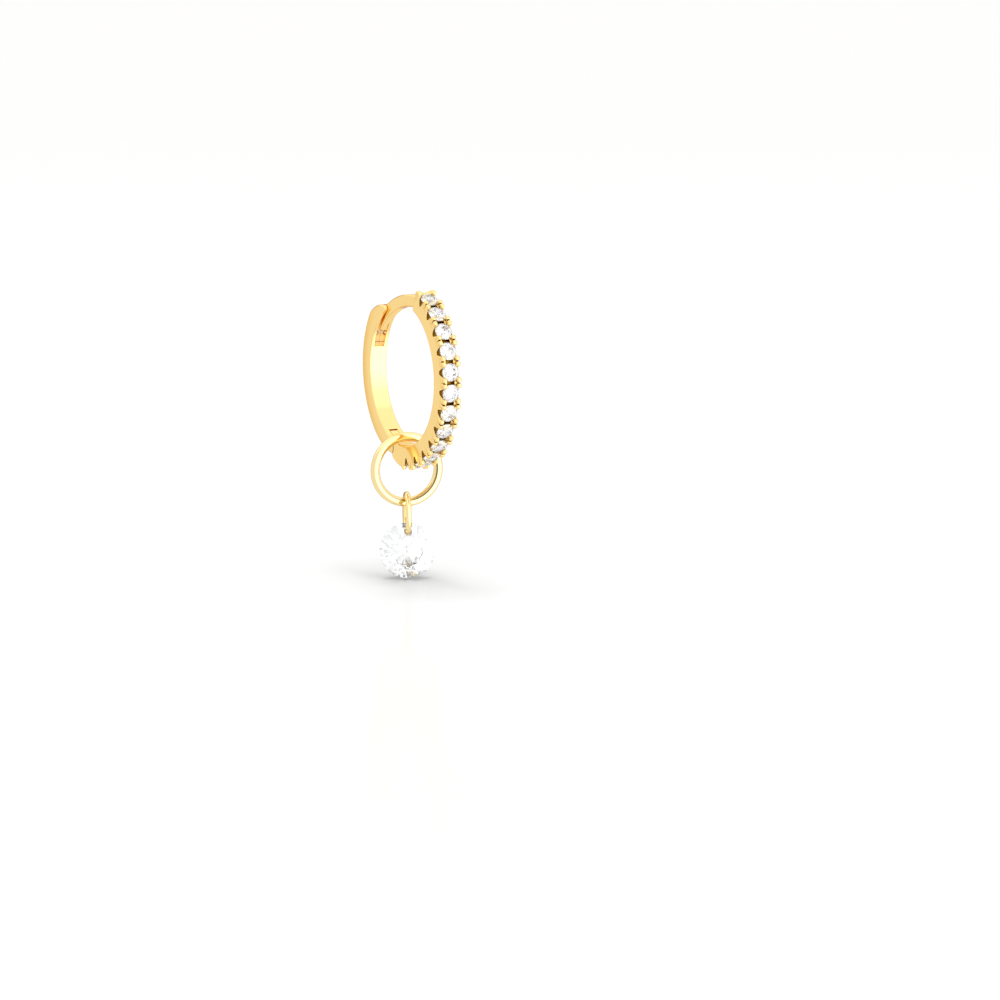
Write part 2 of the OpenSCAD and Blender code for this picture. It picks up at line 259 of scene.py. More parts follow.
@dataclass(frozen=True)
class Casting:
    """A cast metal part as a distance field, and how it becomes a mesh.

    Args:
        hoop: Sizes of the hoop that the part belongs to.
        shallow: Depth of a cut at which painted shade starts on its metal.
        deep: Further depth over which the painted shade turns full.
        crease_share: How dark the painted shade in creases between forms is.
        crease_least: Share of a crease that is left without painted shade.
        crease_reaches: Heights above the surface at which a crease is felt for.
        middle_deg: Angle about which the part's places round the hoop are counted.
        probe_share: Reach of the samples that guide a point to the surface, in cells.
        step_share: The longest step that it takes, in cells.
        least_slope: The flattest slope, squared, that its steps reckon with.
    """

    hoop: Hoop = field(default_factory=Hoop)
    shallow: float = 0.03
    deep: float = 0.1
    crease_share: float = 1.2
    crease_least: float = 0.1
    crease_reaches: tuple[float, ...] = (0.03, 0.06, 0.1)
    middle_deg: float = 0.0
    probe_share: float = 0.1
    step_share: float = 0.5
    least_slope: float = 0.05

    def around(self, p: HoopPoint) -> np.ndarray:
        """Places of points round the hoop, in degrees."""
        return p.angle(self.middle_deg)

    def blank(self, p: HoopPoint) -> np.ndarray:
        """Distances from the metal before slots, seats and pockets are cut into it."""
        raise NotImplementedError

    def distance(self, p: HoopPoint) -> np.ndarray:
        """Distances in millimetres from the part's surface, negative inside."""
        raise NotImplementedError

    def pale(self, p: HoopPoint) -> np.ndarray:
        """How much whiter the plating is than on the outside, from 0 to 1."""
        return np.zeros(p.x.shape)

    def seam(self, p: HoopPoint) -> np.ndarray:
        """How near each point lies to the seam between both halves, from 0 to 1, where shade is painted
        as a dark line.
        """
        h = self.hoop
        gap = np.abs(p.from_point(h.pin) - h.cheek_r - h.hinge_gap / 2)
        past_pin = p.angle(h.far_deg) > h.hinge_deg
        return np.where(past_pin, np.clip(h.seam_core - gap / h.seam_width, 0, 1), 0)

    def at(self, xyz: np.ndarray) -> np.ndarray:
        """Distances for points given as rows of x, y and z."""
        return self.distance(HoopPoint.rows(xyz))

    def slope(self, xyz: np.ndarray, reach: float) -> tuple[np.ndarray, np.ndarray]:
        """Distance and gradient at points, from four nearby samples.

        Args:
            xyz: Points as rows, in millimetres.
            reach: How far from each point the samples are taken.

        Returns:
            The distances, and the gradients as rows.
        """
        corners = np.array([(1, -1, -1), (-1, -1, 1), (-1, 1, -1), (1, 1, 1)], float)
        samples = [self.at(xyz + reach * corner) for corner in corners]
        gradient = sum(s[:, None] * corner for s, corner in zip(samples, corners)) / (4 * reach)
        return sum(samples) / 4, gradient

    def settle(self, xyz: np.ndarray, cell: float, passes: int = 4) -> np.ndarray:
        """Moves points onto the surface by short Newton steps."""
        for _ in range(passes):
            gap, gradient = self.slope(xyz, self.probe_share * cell)
            size = np.maximum((gradient**2).sum(1), self.least_slope)
            step = gradient * (gap / size)[:, None]
            length = np.maximum(np.linalg.norm(step, axis=1), 1e-12)
            xyz = xyz - step * np.minimum(1, self.step_share * cell / length)[:, None]
        return xyz

    def recess(self, xyz: np.ndarray, normals: np.ndarray) -> np.ndarray:
        """How deep in a cut or a crease each point lies, from 0 in the open to 1; the finish paints it
        as shade and duller polish.
        """
        p = HoopPoint.rows(xyz)
        # Painted shade: cuts darken with their depth below the uncut metal, and the seam between both
        # halves gives a dark line.
        cut = np.clip((-self.blank(p) - self.shallow) / self.deep, self.seam(p), 1)
        # Painted shade in creases, measured like ambient occlusion by how near the metal lies above each
        # point.
        crease = np.zeros(len(xyz))
        for reach in self.crease_reaches:
            crease += np.clip(1 - self.at(xyz + reach * normals) / reach, 0, 1)
        crease = self.crease_share * crease / len(self.crease_reaches) - self.crease_least
        return np.maximum(cut, np.clip(crease, 0, 1))


@dataclass(frozen=True)
class StoneRow:
    """The row of round stones and the metal cut for it, in millimetres and degrees."""

    # The stones
    diameter: float = 1.25
    count: int = 12
    first_deg: float = 60.3
    last_deg: float = -83.6
    crown: float = 0.19
    pavilion: float = 0.5
    girdle: float = 0.03
    table_share: float = 0.56
    # Their seats
    play: float = 0.02
    well_share: float = 0.72
    well_margin: float = 0.06
    # The tapered scallop in each side wall at a stone
    scallop_w: float = 0.27
    scallop_slope: float = 0.42
    scallop_depth: float = 0.54
    scallop_in: float = 0.53
    scallop_from: float = 0.12
    scallop_round: float = 0.11
    # The hollow between two stones, and the V that parts their claws
    pocket_w: float = 0.27
    pocket_side: float = 0.29
    pocket_depth: float = 0.4
    split_w: float = 0.03
    split_slope: float = 0.13

    @property
    def step(self) -> float:
        """Angle between neighbouring stones."""
        return (self.first_deg - self.last_deg) / (self.count - 1)

    @property
    def well_r(self) -> float:
        """Radius of the hollow under a stone."""
        return self.well_share * self.diameter / 2

    def near_stone(self, p: HoopPoint, deg: np.ndarray, shift: float) -> tuple[np.ndarray, np.ndarray]:
        """Place of points beside the nearest stone, or the nearest gap between two.

        Args:
            p: The points.
            deg: Their angles round the hoop.
            shift: 0 for stones and 0.5 for the gaps between them.

        Returns:
            The places along the row, and the distances from the hoop's axis on that
            stone's own upright.
        """
        last = self.count - 1 - 2 * shift
        number = np.clip(np.round((self.first_deg - deg) / self.step - shift), 0, last) + shift
        turn = np.radians(deg - (self.first_deg - number * self.step))
        return p.radius * np.sin(turn), p.radius * np.cos(turn)

    def seat(self, along: np.ndarray, y: np.ndarray, height: np.ndarray) -> np.ndarray:
        """Distance from the room cut for one stone: well, bearing, girdle and crown."""
        reach = np.hypot(along, y)
        r = self.diameter / 2
        half = self.girdle / 2 + self.play
        open_r = self.table_share * r + self.play
        floor = -height - self.pavilion - self.well_margin
        well = np.maximum(reach - self.well_r, np.maximum(height, floor))
        cone = unit(math.degrees(math.atan2(-r, self.pavilion)))
        bearing = (reach - r - self.play) * cone[0] + (height + half) * cone[1]
        slant = unit(math.degrees(math.atan2(r - open_r, self.crown)))
        crown = (reach - r - self.play) * slant[0] + (height - half) * slant[1]
        lens = np.maximum(reach - r - self.play, np.maximum(bearing, crown))
        window = np.maximum(reach - open_r, -height)
        return np.minimum(well, np.minimum(lens, window))

    def scallop(self, along: np.ndarray, side: np.ndarray, height: np.ndarray) -> np.ndarray:
        """Distance from the tapered cut into each side wall at a stone."""
        half = self.scallop_w + self.scallop_slope * (height + self.scallop_from)
        wall = (np.abs(along) - half) / math.hypot(1, self.scallop_slope)
        cut = round_and(wall, -height - self.scallop_depth, self.scallop_round)
        return np.maximum(cut, self.scallop_in - side)

    def pocket(self, between: np.ndarray, side: np.ndarray, height: np.ndarray) -> np.ndarray:
        """Distance from the hollow drilled between two stones."""
        box = np.maximum(np.abs(between) - self.pocket_w / 2, side - self.pocket_side)
        return np.maximum(box, -height - self.pocket_depth)

    def split(self, between: np.ndarray, height: np.ndarray) -> np.ndarray:
        """Distance from the V that parts neighbouring claws above the girdle."""
        return np.maximum(np.abs(between) - self.split_w / 2 - self.split_slope * height, -height)


@dataclass(frozen=True)
class FrontHalf(Casting):
    """The stone-set half with its claws, the ear wire and the hinge tongue."""

    row: StoneRow = field(default_factory=StoneRow)
    middle_deg: float = 18.0
    top_deg: float = 69.3
    # Claws: upright posts that end in oval beads
    claw_proud: float = 0.035
    claw_along: float = 0.575
    claw_long: float = 0.05
    claw_low: float = -0.18
    post_r: float = 0.14
    bead_at: float = 0.13
    bead_lean: float = 0.02
    bead_radii: tuple[float, float, float] = (0.22, 0.18, 0.18)
    bead_fillet: float = 0.01
    # The collar behind the first stone, with the saddle between its lobes
    collar_r: float = 0.36
    collar_rise: float = 0.26
    collar_behind: float = 0.055
    collar_edge: float = 0.12
    saddle_w: float = 0.4
    saddle_depth: float = 0.3
    saddle_edge: float = 0.08
    # The tail past the last stone
    tail_rise: float = 0.17
    tail_bend: float = 4.4
    tail_gap: float = 5.2
    tail_overlap: float = 1.5
    # The ear wire's ends and its taper
    tip_deg: float = 146.3
    root_overlap: float = 3.0
    post_taper: float = 0.11
    taper_from: float = 24.0
    taper_run: float = 18.0
    # Rounded edges and fillets
    wire_edge: float = 0.13
    fillet: float = 0.03
    claw_fillet: float = 0.012
    cut_edge: float = 0.02
    seam_edge: float = 0.08
    # The hinge tongue
    tongue_short: float = 1.8
    tongue_root: float = 12.0
    # Where the seats are plated white
    pale_r: float = 0.5
    pale_depth: float = 0.8
    pale_fade: float = 0.04
    pale_start: float = 0.03

    def band(self, p: HoopPoint, deg: np.ndarray) -> np.ndarray:
        """The set band, from the ear wire down to the tail."""
        h = self.hoop
        across = np.abs(p.radius - h.inner_r - h.set_wall / 2) - h.set_wall / 2
        section = round_and(across, p.side - h.width / 2, h.edge)
        into_tail = -p.past(deg, self.tail_start - self.tail_overlap)
        return np.maximum(round_and(section, p.past(deg, self.top_deg), h.edge), into_tail)

    @property
    def tail_start(self) -> float:
        """Angle at which the tail begins beside the last stone."""
        return self.row.last_deg - self.tail_gap

    def tail(self, p: HoopPoint, deg: np.ndarray) -> np.ndarray:
        """The plain tail past the last stone, which thins towards the hinge."""
        h = self.hoop
        from_deg = self.row.last_deg - self.tail_bend
        top_r = h.girdle_r + self.tail_rise
        shift = h.drawn_in(top_r, from_deg + 360 - h.hinge_deg - h.seam_turn)
        outer = p.from_point(shift * unit(from_deg)) - (top_r - shift)
        start = np.maximum(p.past(deg, self.tail_start), -p.past(deg, h.hinge_deg - 360))
        outline = round_and(np.maximum(outer, h.inner_r - p.radius), start, self.fillet)
        return round_and(outline, p.side - h.width / 2, h.edge)

    def collar(self, p: HoopPoint) -> np.ndarray:
        """The round collar behind the first stone, hollowed between its two lobes."""
        h = self.hoop
        turn = math.degrees((self.row.diameter / 2 + self.collar_behind) / h.girdle_r)
        centre = (h.girdle_r + self.collar_rise - self.collar_r) * unit(self.row.first_deg + turn)
        disc = p.from_point(centre) - self.collar_r
        lobes = round_and(disc, p.side - h.width / 2, self.collar_edge)
        above = p.radius - h.girdle_r - self.collar_rise
        saddle = np.hypot(p.y / self.saddle_w, above / self.saddle_depth) - 1
        return round_cut(lobes, self.saddle_depth * saddle, self.saddle_edge)

    def tongue(self, p: HoopPoint, deg: np.ndarray) -> np.ndarray:
        """The hinge tongue: flush inside, and round about the pin outside."""
        h = self.hoop
        end_deg = h.hinge_deg - h.tongue_deg + self.tongue_short - 360
        outline = np.maximum(h.thinned(p), h.inner_r - p.radius)
        outline = np.maximum(outline, -p.past(deg, end_deg))
        outline = np.maximum(outline, p.past(deg, h.hinge_deg + self.tongue_root - 360))
        from_pin = np.array([p.x - h.pin[0], p.z - h.pin[1]])
        out = unit(h.hinge_deg)
        back = unit(end_deg - 90)
        outer_end = (back[0] * from_pin[1] - back[1] * from_pin[0] > 0) & (
            from_pin[0] * out[1] - from_pin[1] * out[0] > 0)
        end_r = (h.inner_r + h.pin_depth) * math.sin(math.radians(h.tongue_deg - self.tongue_short))
        outline = np.where(outer_end, np.maximum(outline, p.from_point(h.pin) - end_r), outline)
        return round_and(outline, p.side - h.tongue_w / 2, self.fillet)

    def ear_wire(self, p: HoopPoint) -> np.ndarray:
        """The arched ear wire with its round tip."""
        h = self.hoop
        c = h.arch_centre
        around = np.degrees(np.arctan2(p.z - c[1], p.x - c[0]))
        tip = self.arch_angle(self.tip_deg)
        root = self.arch_angle(self.top_deg - self.root_overlap)
        ring = np.abs(p.from_point(c) - h.arch_r)
        ends = np.where(around > tip, p.from_point(c + h.arch_r * unit(tip)), ring)
        ends = np.where((around < root) | (around < -90), p.from_point(c + h.arch_r * unit(root)), ends)
        taper_deg = self.arch_angle(self.tip_deg - self.taper_from)
        taper = self.post_taper * np.clip((around - taper_deg) / self.taper_run, 0, 1)
        return round_and(ends - h.wire_t / 2, p.side - h.wire_w / 2 + taper, self.wire_edge)

    def arch_angle(self, deg: float) -> float:
        """Angle about the arch's centre of its middle line at an angle round the hoop."""
        h = self.hoop
        along = float(h.arch_centre @ unit(deg))
        reach = along + math.sqrt(along**2 + h.arch_r**2 - float(h.arch_centre @ h.arch_centre))
        point = reach * unit(deg) - h.arch_centre
        return math.degrees(math.atan2(point[1], point[0]))

    def claws(self, along: np.ndarray, side: np.ndarray, height: np.ndarray) -> np.ndarray:
        """The four claws at a stone: posts that end in oval beads."""
        centre_side = self.hoop.width / 2 + self.claw_proud - self.post_r
        off_post = np.array([np.maximum(np.abs(np.abs(along) - self.claw_along) - self.claw_long, 0),
                             side - centre_side, height - np.clip(height, self.claw_low, self.bead_at)])
        post = np.sqrt((off_post**2).sum(0)) - self.post_r
        radii = np.array(self.bead_radii).reshape((3,) + (1,) * along.ndim)
        off_bead = np.array([np.abs(along) - self.claw_along + self.bead_lean,
                             side - centre_side + self.bead_lean, height - self.bead_at])
        share = np.sqrt(((off_bead / radii) ** 2).sum(0))
        slope = np.sqrt(((off_bead / radii**2) ** 2).sum(0))
        bead = share * (share - 1) / np.maximum(slope, 1e-6)
        return round_or(post, bead, self.bead_fillet)

    def blank(self, p: HoopPoint) -> np.ndarray:
        """Band, tail, collar and claws as one, before anything is cut."""
        h = self.hoop
        deg = self.around(p)
        solid = np.minimum(self.band(p, deg), self.tail(p, deg))
        solid = round_or(solid, self.collar(p), self.fillet)
        seat_r = h.cheek_r + h.hinge_gap + h.seam_open
        solid = round_cut(solid, p.from_point(h.pin) - seat_r, self.seam_edge)
        along, upright = self.row.near_stone(p, deg, 0)
        return round_or(solid, self.claws(along, p.side, upright - h.girdle_r), self.claw_fillet)

    def pale(self, p: HoopPoint) -> np.ndarray:
        """The seats under the stones are plated white."""
        along, upright = self.row.near_stone(p, self.around(p), 0)
        height = upright - self.hoop.girdle_r
        inside = np.clip((self.pale_r - np.hypot(along, p.y)) / self.pale_fade, 0, 1)
        return inside * np.clip(-height / self.pale_start, 0, 1) * (height > -self.pale_depth)

    def distance(self, p: HoopPoint) -> np.ndarray:
        """The whole casting: what is joined first, then what is cut from it."""
        h = self.hoop
        row = self.row
        deg = self.around(p)
        solid = self.blank(p)
        along, upright = row.near_stone(p, deg, 0)
        height = upright - h.girdle_r
        solid = round_cut(solid, row.scallop(along, p.side, height), self.cut_edge)
        solid = round_cut(solid, row.seat(along, p.y, height), self.cut_edge)
        between, upright = row.near_stone(p, deg, 0.5)
        height = upright - h.girdle_r
        solid = round_cut(solid, row.pocket(between, p.side, height), self.cut_edge)
        solid = round_cut(solid, row.split(between, height), self.cut_edge)
        solid = round_or(solid, self.ear_wire(p), self.fillet)
        solid = np.minimum(solid, self.tongue(p, deg))
        return np.maximum(solid, h.pin_d / 2 + h.hinge_gap - p.from_point(h.pin))


@dataclass(frozen=True)
class BackHalf(Casting):
    """The plain half: the clasp slot at its top and two hinge cheeks below."""

    middle_deg: float = 190.0
    shallow: float = 0.2
    deep: float = 1.0
    # The half's top
    top_deg: float = 122.0
    top_z: float = 4.57
    corner_r: float = 0.8
    # The clasp slot, which closes in on the wire towards its top, and the catch in it
    slot_gap: float = 0.05
    snug_gap: float = 0.012
    snug_z: float = 3.5
    snug_run: float = 0.5
    slot_back_wall: float = 0.59
    slot_end_deg: float = 164.0
    # Painted light: how much paler the slot's plating is, and the depth from which it pales
    slot_pale: float = 0.45
    pale_from: float = 0.1
    hinge_slot_play: float = 0.3
    catch_r: float = 0.2
    catch_sink: float = 0.04
    catch_before: float = 7.0
    # Crowned sides and rounded edges
    dome: float = 0.16
    crown: float = 0.08
    top_crown: float = 0.13
    top_reach: float = 0.9
    cut_edge: float = 0.035
    seam_edge: float = 0.08

    def outline(self, p: HoopPoint, deg: np.ndarray) -> np.ndarray:
        """The half's outline in the hoop's plane."""
        h = self.hoop
        outer = np.where(deg > h.thin_deg, h.thinned(p), p.radius - h.plain_outer_r)
        shape = round_and(outer, p.z - self.top_z, self.corner_r)
        cheek = p.from_point(h.pin) - h.cheek_r + h.seam_open
        return np.where(deg > h.hinge_deg, round_and(shape, cheek, self.seam_edge), shape)

    def blank(self, p: HoopPoint) -> np.ndarray:
        """The outline's plate with its crowned sides, before anything is cut."""
        h = self.hoop
        deg = self.around(p)
        # Both run a little past 1, so that the crown doesn't break off at the outline.
        out = np.clip((p.radius - h.inner_r) / h.plain_wall, 0, 1.2)
        lift = np.clip((p.z - self.top_z + self.top_reach) / self.top_reach, 0, 1.1)
        crown = self.crown * out**2 + self.top_crown * lift**2
        solid = round_and(self.outline(p, deg), p.side - h.width / 2 + crown, self.dome)
        inside = np.maximum(h.inner_r - p.radius, -p.past(deg, self.top_deg))
        return round_and(solid, inside, h.edge)

    def pale(self, p: HoopPoint) -> np.ndarray:
        """The clasp slot's plating is painted paler, lightening the slot against the deep orange of its
        own reflections.
        """
        in_slot = self.around(p) < self.slot_end_deg + 1
        return self.slot_pale * np.clip(-self.blank(p) / self.pale_from - 1, 0, 1) * in_slot

    def distance(self, p: HoopPoint) -> np.ndarray:
        """The whole casting: the plate, less the slots and the pin's bore."""
        h = self.hoop
        deg = self.around(p)
        solid = self.blank(p)
        snug = np.clip((p.z - self.snug_z) / self.snug_run, 0, 1)
        slot_half = h.wire_w / 2 + self.slot_gap - (self.slot_gap - self.snug_gap) * snug
        floor_r = h.plain_outer_r - self.slot_back_wall
        slot = np.maximum(p.side - slot_half, p.radius - floor_r)
        solid = round_cut(solid, np.maximum(slot, p.past(deg, self.slot_end_deg)), self.cut_edge)
        end_deg = h.hinge_deg - h.tongue_deg - self.hinge_slot_play
        hinge_slot = np.maximum(p.side - h.tongue_w / 2 - h.hinge_gap, -p.past(deg, end_deg))
        solid = round_cut(solid, hinge_slot, self.cut_edge)
        catch_at = (floor_r + self.catch_sink) * unit(self.slot_end_deg - self.catch_before)
        catch = np.hypot(p.from_point(catch_at), p.y) - self.catch_r
        solid = round_or(solid, catch, self.cut_edge)
        return np.maximum(solid, h.pin_d / 2 + h.hinge_gap - p.from_point(h.pin))


@dataclass(frozen=True)
class Grid:
    """Cells that fill a stretch of the hoop: across, round and outwards.

    Args:
        degrees: Angles at which the stretch begins and ends.
        radii: Radii between which the part lies.
        half_width: Half of the width to fill along the hoop's axis.
        cell: Size of a cell.
    """

    degrees: tuple[float, float]
    radii: tuple[float, float]
    half_width: float
    cell: float

    def places(self) -> tuple[np.ndarray, np.ndarray, np.ndarray]:
        """The grid's places across, in radians round the hoop, and outwards."""
        y = np.arange(-self.half_width, self.half_width + self.cell, self.cell)
        turn = np.degrees(self.cell / self.radii[1])
        deg = np.arange(self.degrees[0], self.degrees[1] + turn, turn)
        r = np.arange(self.radii[0], self.radii[1] + self.cell, self.cell)
        return y, np.radians(deg), r

    def sample(self, part: Casting) -> np.ndarray:
        """The part's distance field at every place of the grid."""
        y, turn, r = self.places()
        x = r[None, None, :] * np.cos(turn)[None, :, None]
        z = r[None, None, :] * np.sin(turn)[None, :, None]
        shape = (len(y), len(turn), len(r))
        slices = [part.distance(HoopPoint(x[0], np.full(x[0].shape, across), z[0])) for across in y]
        return np.stack(slices).reshape(shape)

    def to_space(self, at: np.ndarray) -> np.ndarray:
        """Turns places given in cells into millimetres from the hoop's centre."""
        y, turn, r = self.places()
        across = y[0] + at[:, 0] * (y[1] - y[0])
        angle = turn[0] + at[:, 1] * (turn[1] - turn[0])
        radius = r[0] + at[:, 2] * (r[1] - r[0])
        return np.column_stack([radius * np.cos(angle), across, radius * np.sin(angle)])


def surface_net(values: np.ndarray) -> tuple[np.ndarray, np.ndarray]:
    """Skins the zero level of a sampled distance field with quads.

    Args:
        values: The samples, negative inside.

    Returns:
        Points in units of cells, and quads as rows of four point numbers.
    """
    cells = np.array(values.shape) - 1
    strides = np.array([cells[1] * cells[2], cells[2], 1])
    crossings, owners, loops = [], [], []
    for axis in range(3):
        others = [a for a in range(3) if a != axis]
        turned = np.moveaxis(values, axis, 0)
        low, high = turned[:-1], turned[1:]
        spot = np.stack(np.nonzero((low < 0) != (high < 0)), 1)
        inner = np.all((spot[:, 1:] > 0) & (spot[:, 1:] < np.array(turned.shape[1:]) - 1), 1)
        spot = spot[inner]
        a, b = low[tuple(spot.T)], high[tuple(spot.T)]
        at = np.zeros((len(spot), 3))
        at[:, axis] = spot[:, 0] + a / (a - b)
        at[:, others] = spot[:, 1:]
        cell = np.zeros((len(spot), 3), int)
        cell[:, axis] = spot[:, 0]
        cell[:, others] = spot[:, 1:]
        ring = []
        for shift in ((-1, -1), (0, -1), (0, 0), (-1, 0)):
            moved = cell.copy()
            moved[:, others] += shift
            ring.append(moved @ strides)
        ring = np.stack(ring, 1)
        outward = (a < 0) != (axis == 1)
        loops.append(np.where(outward[:, None], ring, ring[:, ::-1]))
        for corner in range(4):
            crossings.append(at)
            owners.append(ring[:, corner])
    owner = np.concatenate(owners)
    used, number = np.unique(owner, return_inverse=True)
    at = np.concatenate(crossings)
    share = np.bincount(number)
    points = np.stack([np.bincount(number, at[:, a]) / share for a in range(3)], 1)
    quads = np.searchsorted(used, np.concatenate(loops))
    return points, quads


# Meshes

# The turns from facet to facet of a round brilliant, in degrees
EIGHTH = 45.0
SIXTEENTH = 22.5


def new_object(name: str, mesh: Mesh) -> Object:
    """Links a new object that shows a mesh."""
    obj = bpy.data.objects.new(name, mesh)
    bpy.context.scene.collection.objects.link(obj)
    return obj


def mesh_of(name: str, points: np.ndarray, faces: np.ndarray) -> Mesh:
    """Makes a smooth mesh from points in metres and faces with one corner count.

    Args:
        name: The mesh's name.
        points: Points as rows.
        faces: Faces as rows of point numbers.

    Returns:
        The mesh.
    """
    mesh = bpy.data.meshes.new(name)
    corners = faces.shape[1]
    mesh.vertices.add(len(points))
    mesh.vertices.foreach_set("co", points.astype(np.float32).ravel())
    mesh.loops.add(faces.size)
    mesh.loops.foreach_set("vertex_index", faces.astype(np.int32).ravel())
    mesh.polygons.add(len(faces))
    mesh.polygons.foreach_set("loop_start", np.arange(0, faces.size, corners, dtype=np.int32))
    mesh.polygons.foreach_set("use_smooth", np.ones(len(faces), bool))
    mesh.update(calc_edges=True)
    return mesh


def apply_modifiers(obj: Object) -> None:
    """Makes an object's modifiers part of its mesh."""
    bpy.context.view_layer.update()
    old = obj.data
    done = bpy.data.meshes.new_from_object(obj.evaluated_get(bpy.context.evaluated_depsgraph_get()))
    obj.modifiers.clear()
    obj.data = done
    bpy.data.meshes.remove(old)


def set_values(mesh: Mesh, name: str, values: np.ndarray) -> None:
    """Keeps a number for each point of a mesh, which its finish reads by name."""
    spread = mesh.attributes.new(name, "FLOAT", "POINT")
    spread.data.foreach_set("value", values.astype(np.float32))


def object_of(name: str, bm: BMesh) -> Object:
    """Makes the object of a finished bmesh, which it frees."""
    mesh = bpy.data.meshes.new(name)
    bm.to_mesh(mesh)
    bm.free()
    return new_object(name, mesh)


def close_up(bm: BMesh) -> None:
    """Merges the points that lie together and turns every face outwards."""
    bmesh.ops.remove_doubles(bm, verts=bm.verts[:], dist=1e-5)
    bmesh.ops.recalc_face_normals(bm, faces=bm.faces[:])


def revolved(name: str, outline: list[tuple[float, float]], sides: int, place: Matrix) -> Object:
    """Turns an outline of (radius, height) points round Z and places it.

    Args:
        name: The piece's name.
        outline: Points from the top of the axis to its bottom, in millimetres.
        sides: Steps round the axis.
        place: Where the turned piece goes, in millimetres in the row's frame.

    Returns:
        The object.
    """
    bm = bmesh.new()
    line = [bm.verts.new((radius, 0, height)) for radius, height in outline]
    edges = [bm.edges.new(pair) for pair in zip(line, line[1:])]
    bmesh.ops.spin(bm, geom=line + edges, axis=(0, 0, 1), cent=(0, 0, 0), steps=sides, angle=2 * math.pi,
                   use_merge=True)
    close_up(bm)
    bm.transform(Matrix.Scale(MM, 4) @ place)
    for face in bm.faces:
        face.smooth = True
    return object_of(name, bm)


def triangle_count(obj: Object) -> int:
    """How many triangles a mesh object has."""
    return sum(len(face.vertices) - 2 for face in obj.data.polygons)


def hand_over(obj: Object, node: str, side: Side, slot: Slot, *finishes: Material) -> Object:
    """Dresses a piece, gives it the place of its CAD node and logs it.

    Args:
        obj: The piece.
        node: The node that it takes the place of.
        side: The body that it moves with.
        slot: Its material slot; not used.
        finishes: Its finishes, unless it has them already.

    Returns:
        The piece.
    """
    for finish in finishes:
        obj.data.materials.append(finish)
    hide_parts(node)
    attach(obj, side.value)
    log.info("%s: %d triangles", obj.name, triangle_count(obj))
    return obj


@dataclass(frozen=True)
class Founder:
    """Pours a casting: skins its field, thins the mesh and polishes its normals."""

    cell: float
    most_triangles: int
    normal_reach: float = 0.2

    def pour(self, name: str, part: Casting, grid: Grid) -> Object:
        """Makes the mesh object of a casting.

        Args:
            name: The piece's name.
            part: The casting.
            grid: The stretch of the hoop that it fills.

        Returns:
            The object, in the row's frame.
        """
        points, quads = surface_net(grid.sample(part))
        xyz = part.settle(grid.to_space(points), self.cell)
        obj = new_object(name, mesh_of(name, self.to_row(part, xyz), quads))
        self.thin(obj, 2 * len(quads))
        self.polish(obj, part)
        return obj

    def to_row(self, part: Casting, xyz: np.ndarray) -> np.ndarray:
        """Millimetres from the hoop's centre to metres in the row's frame."""
        return (xyz + np.array([0, 0, part.hoop.centre_z])) * MM

    def thin(self, obj: Object, triangles: int) -> None:
        """Lowers the count of triangles where the surface is flat."""
        fewer = obj.modifiers.new("fewer_triangles", "DECIMATE")
        fewer.ratio = min(1.0, self.most_triangles / triangles)
        apply_modifiers(obj)

    def polish(self, obj: Object, part: Casting) -> None:
        """Gives the mesh the field's own normals and a measure of its recesses, which the finish paints
        as shade.
        """
        mesh = obj.data
        flat = np.zeros(3 * len(mesh.vertices), np.float32)
        mesh.vertices.foreach_get("co", flat)
        xyz = flat.reshape(-1, 3).astype(float) / MM - np.array([0, 0, part.hoop.centre_z])
        xyz = part.settle(xyz, self.cell, passes=2)
        mesh.vertices.foreach_set("co", self.to_row(part, xyz).astype(np.float32).ravel())
        _, normals = part.slope(xyz, self.normal_reach * self.cell)
        normals /= np.maximum(np.linalg.norm(normals, axis=1), 1e-9)[:, None]
        pale = part.pale(HoopPoint.rows(xyz))
        for name, values in (("recess", part.recess(xyz, normals) * (1 - pale)), ("pale", pale)):
            set_values(mesh, name, values)
        mesh.update()
        mesh.normals_split_custom_set_from_vertices(normals.tolist())


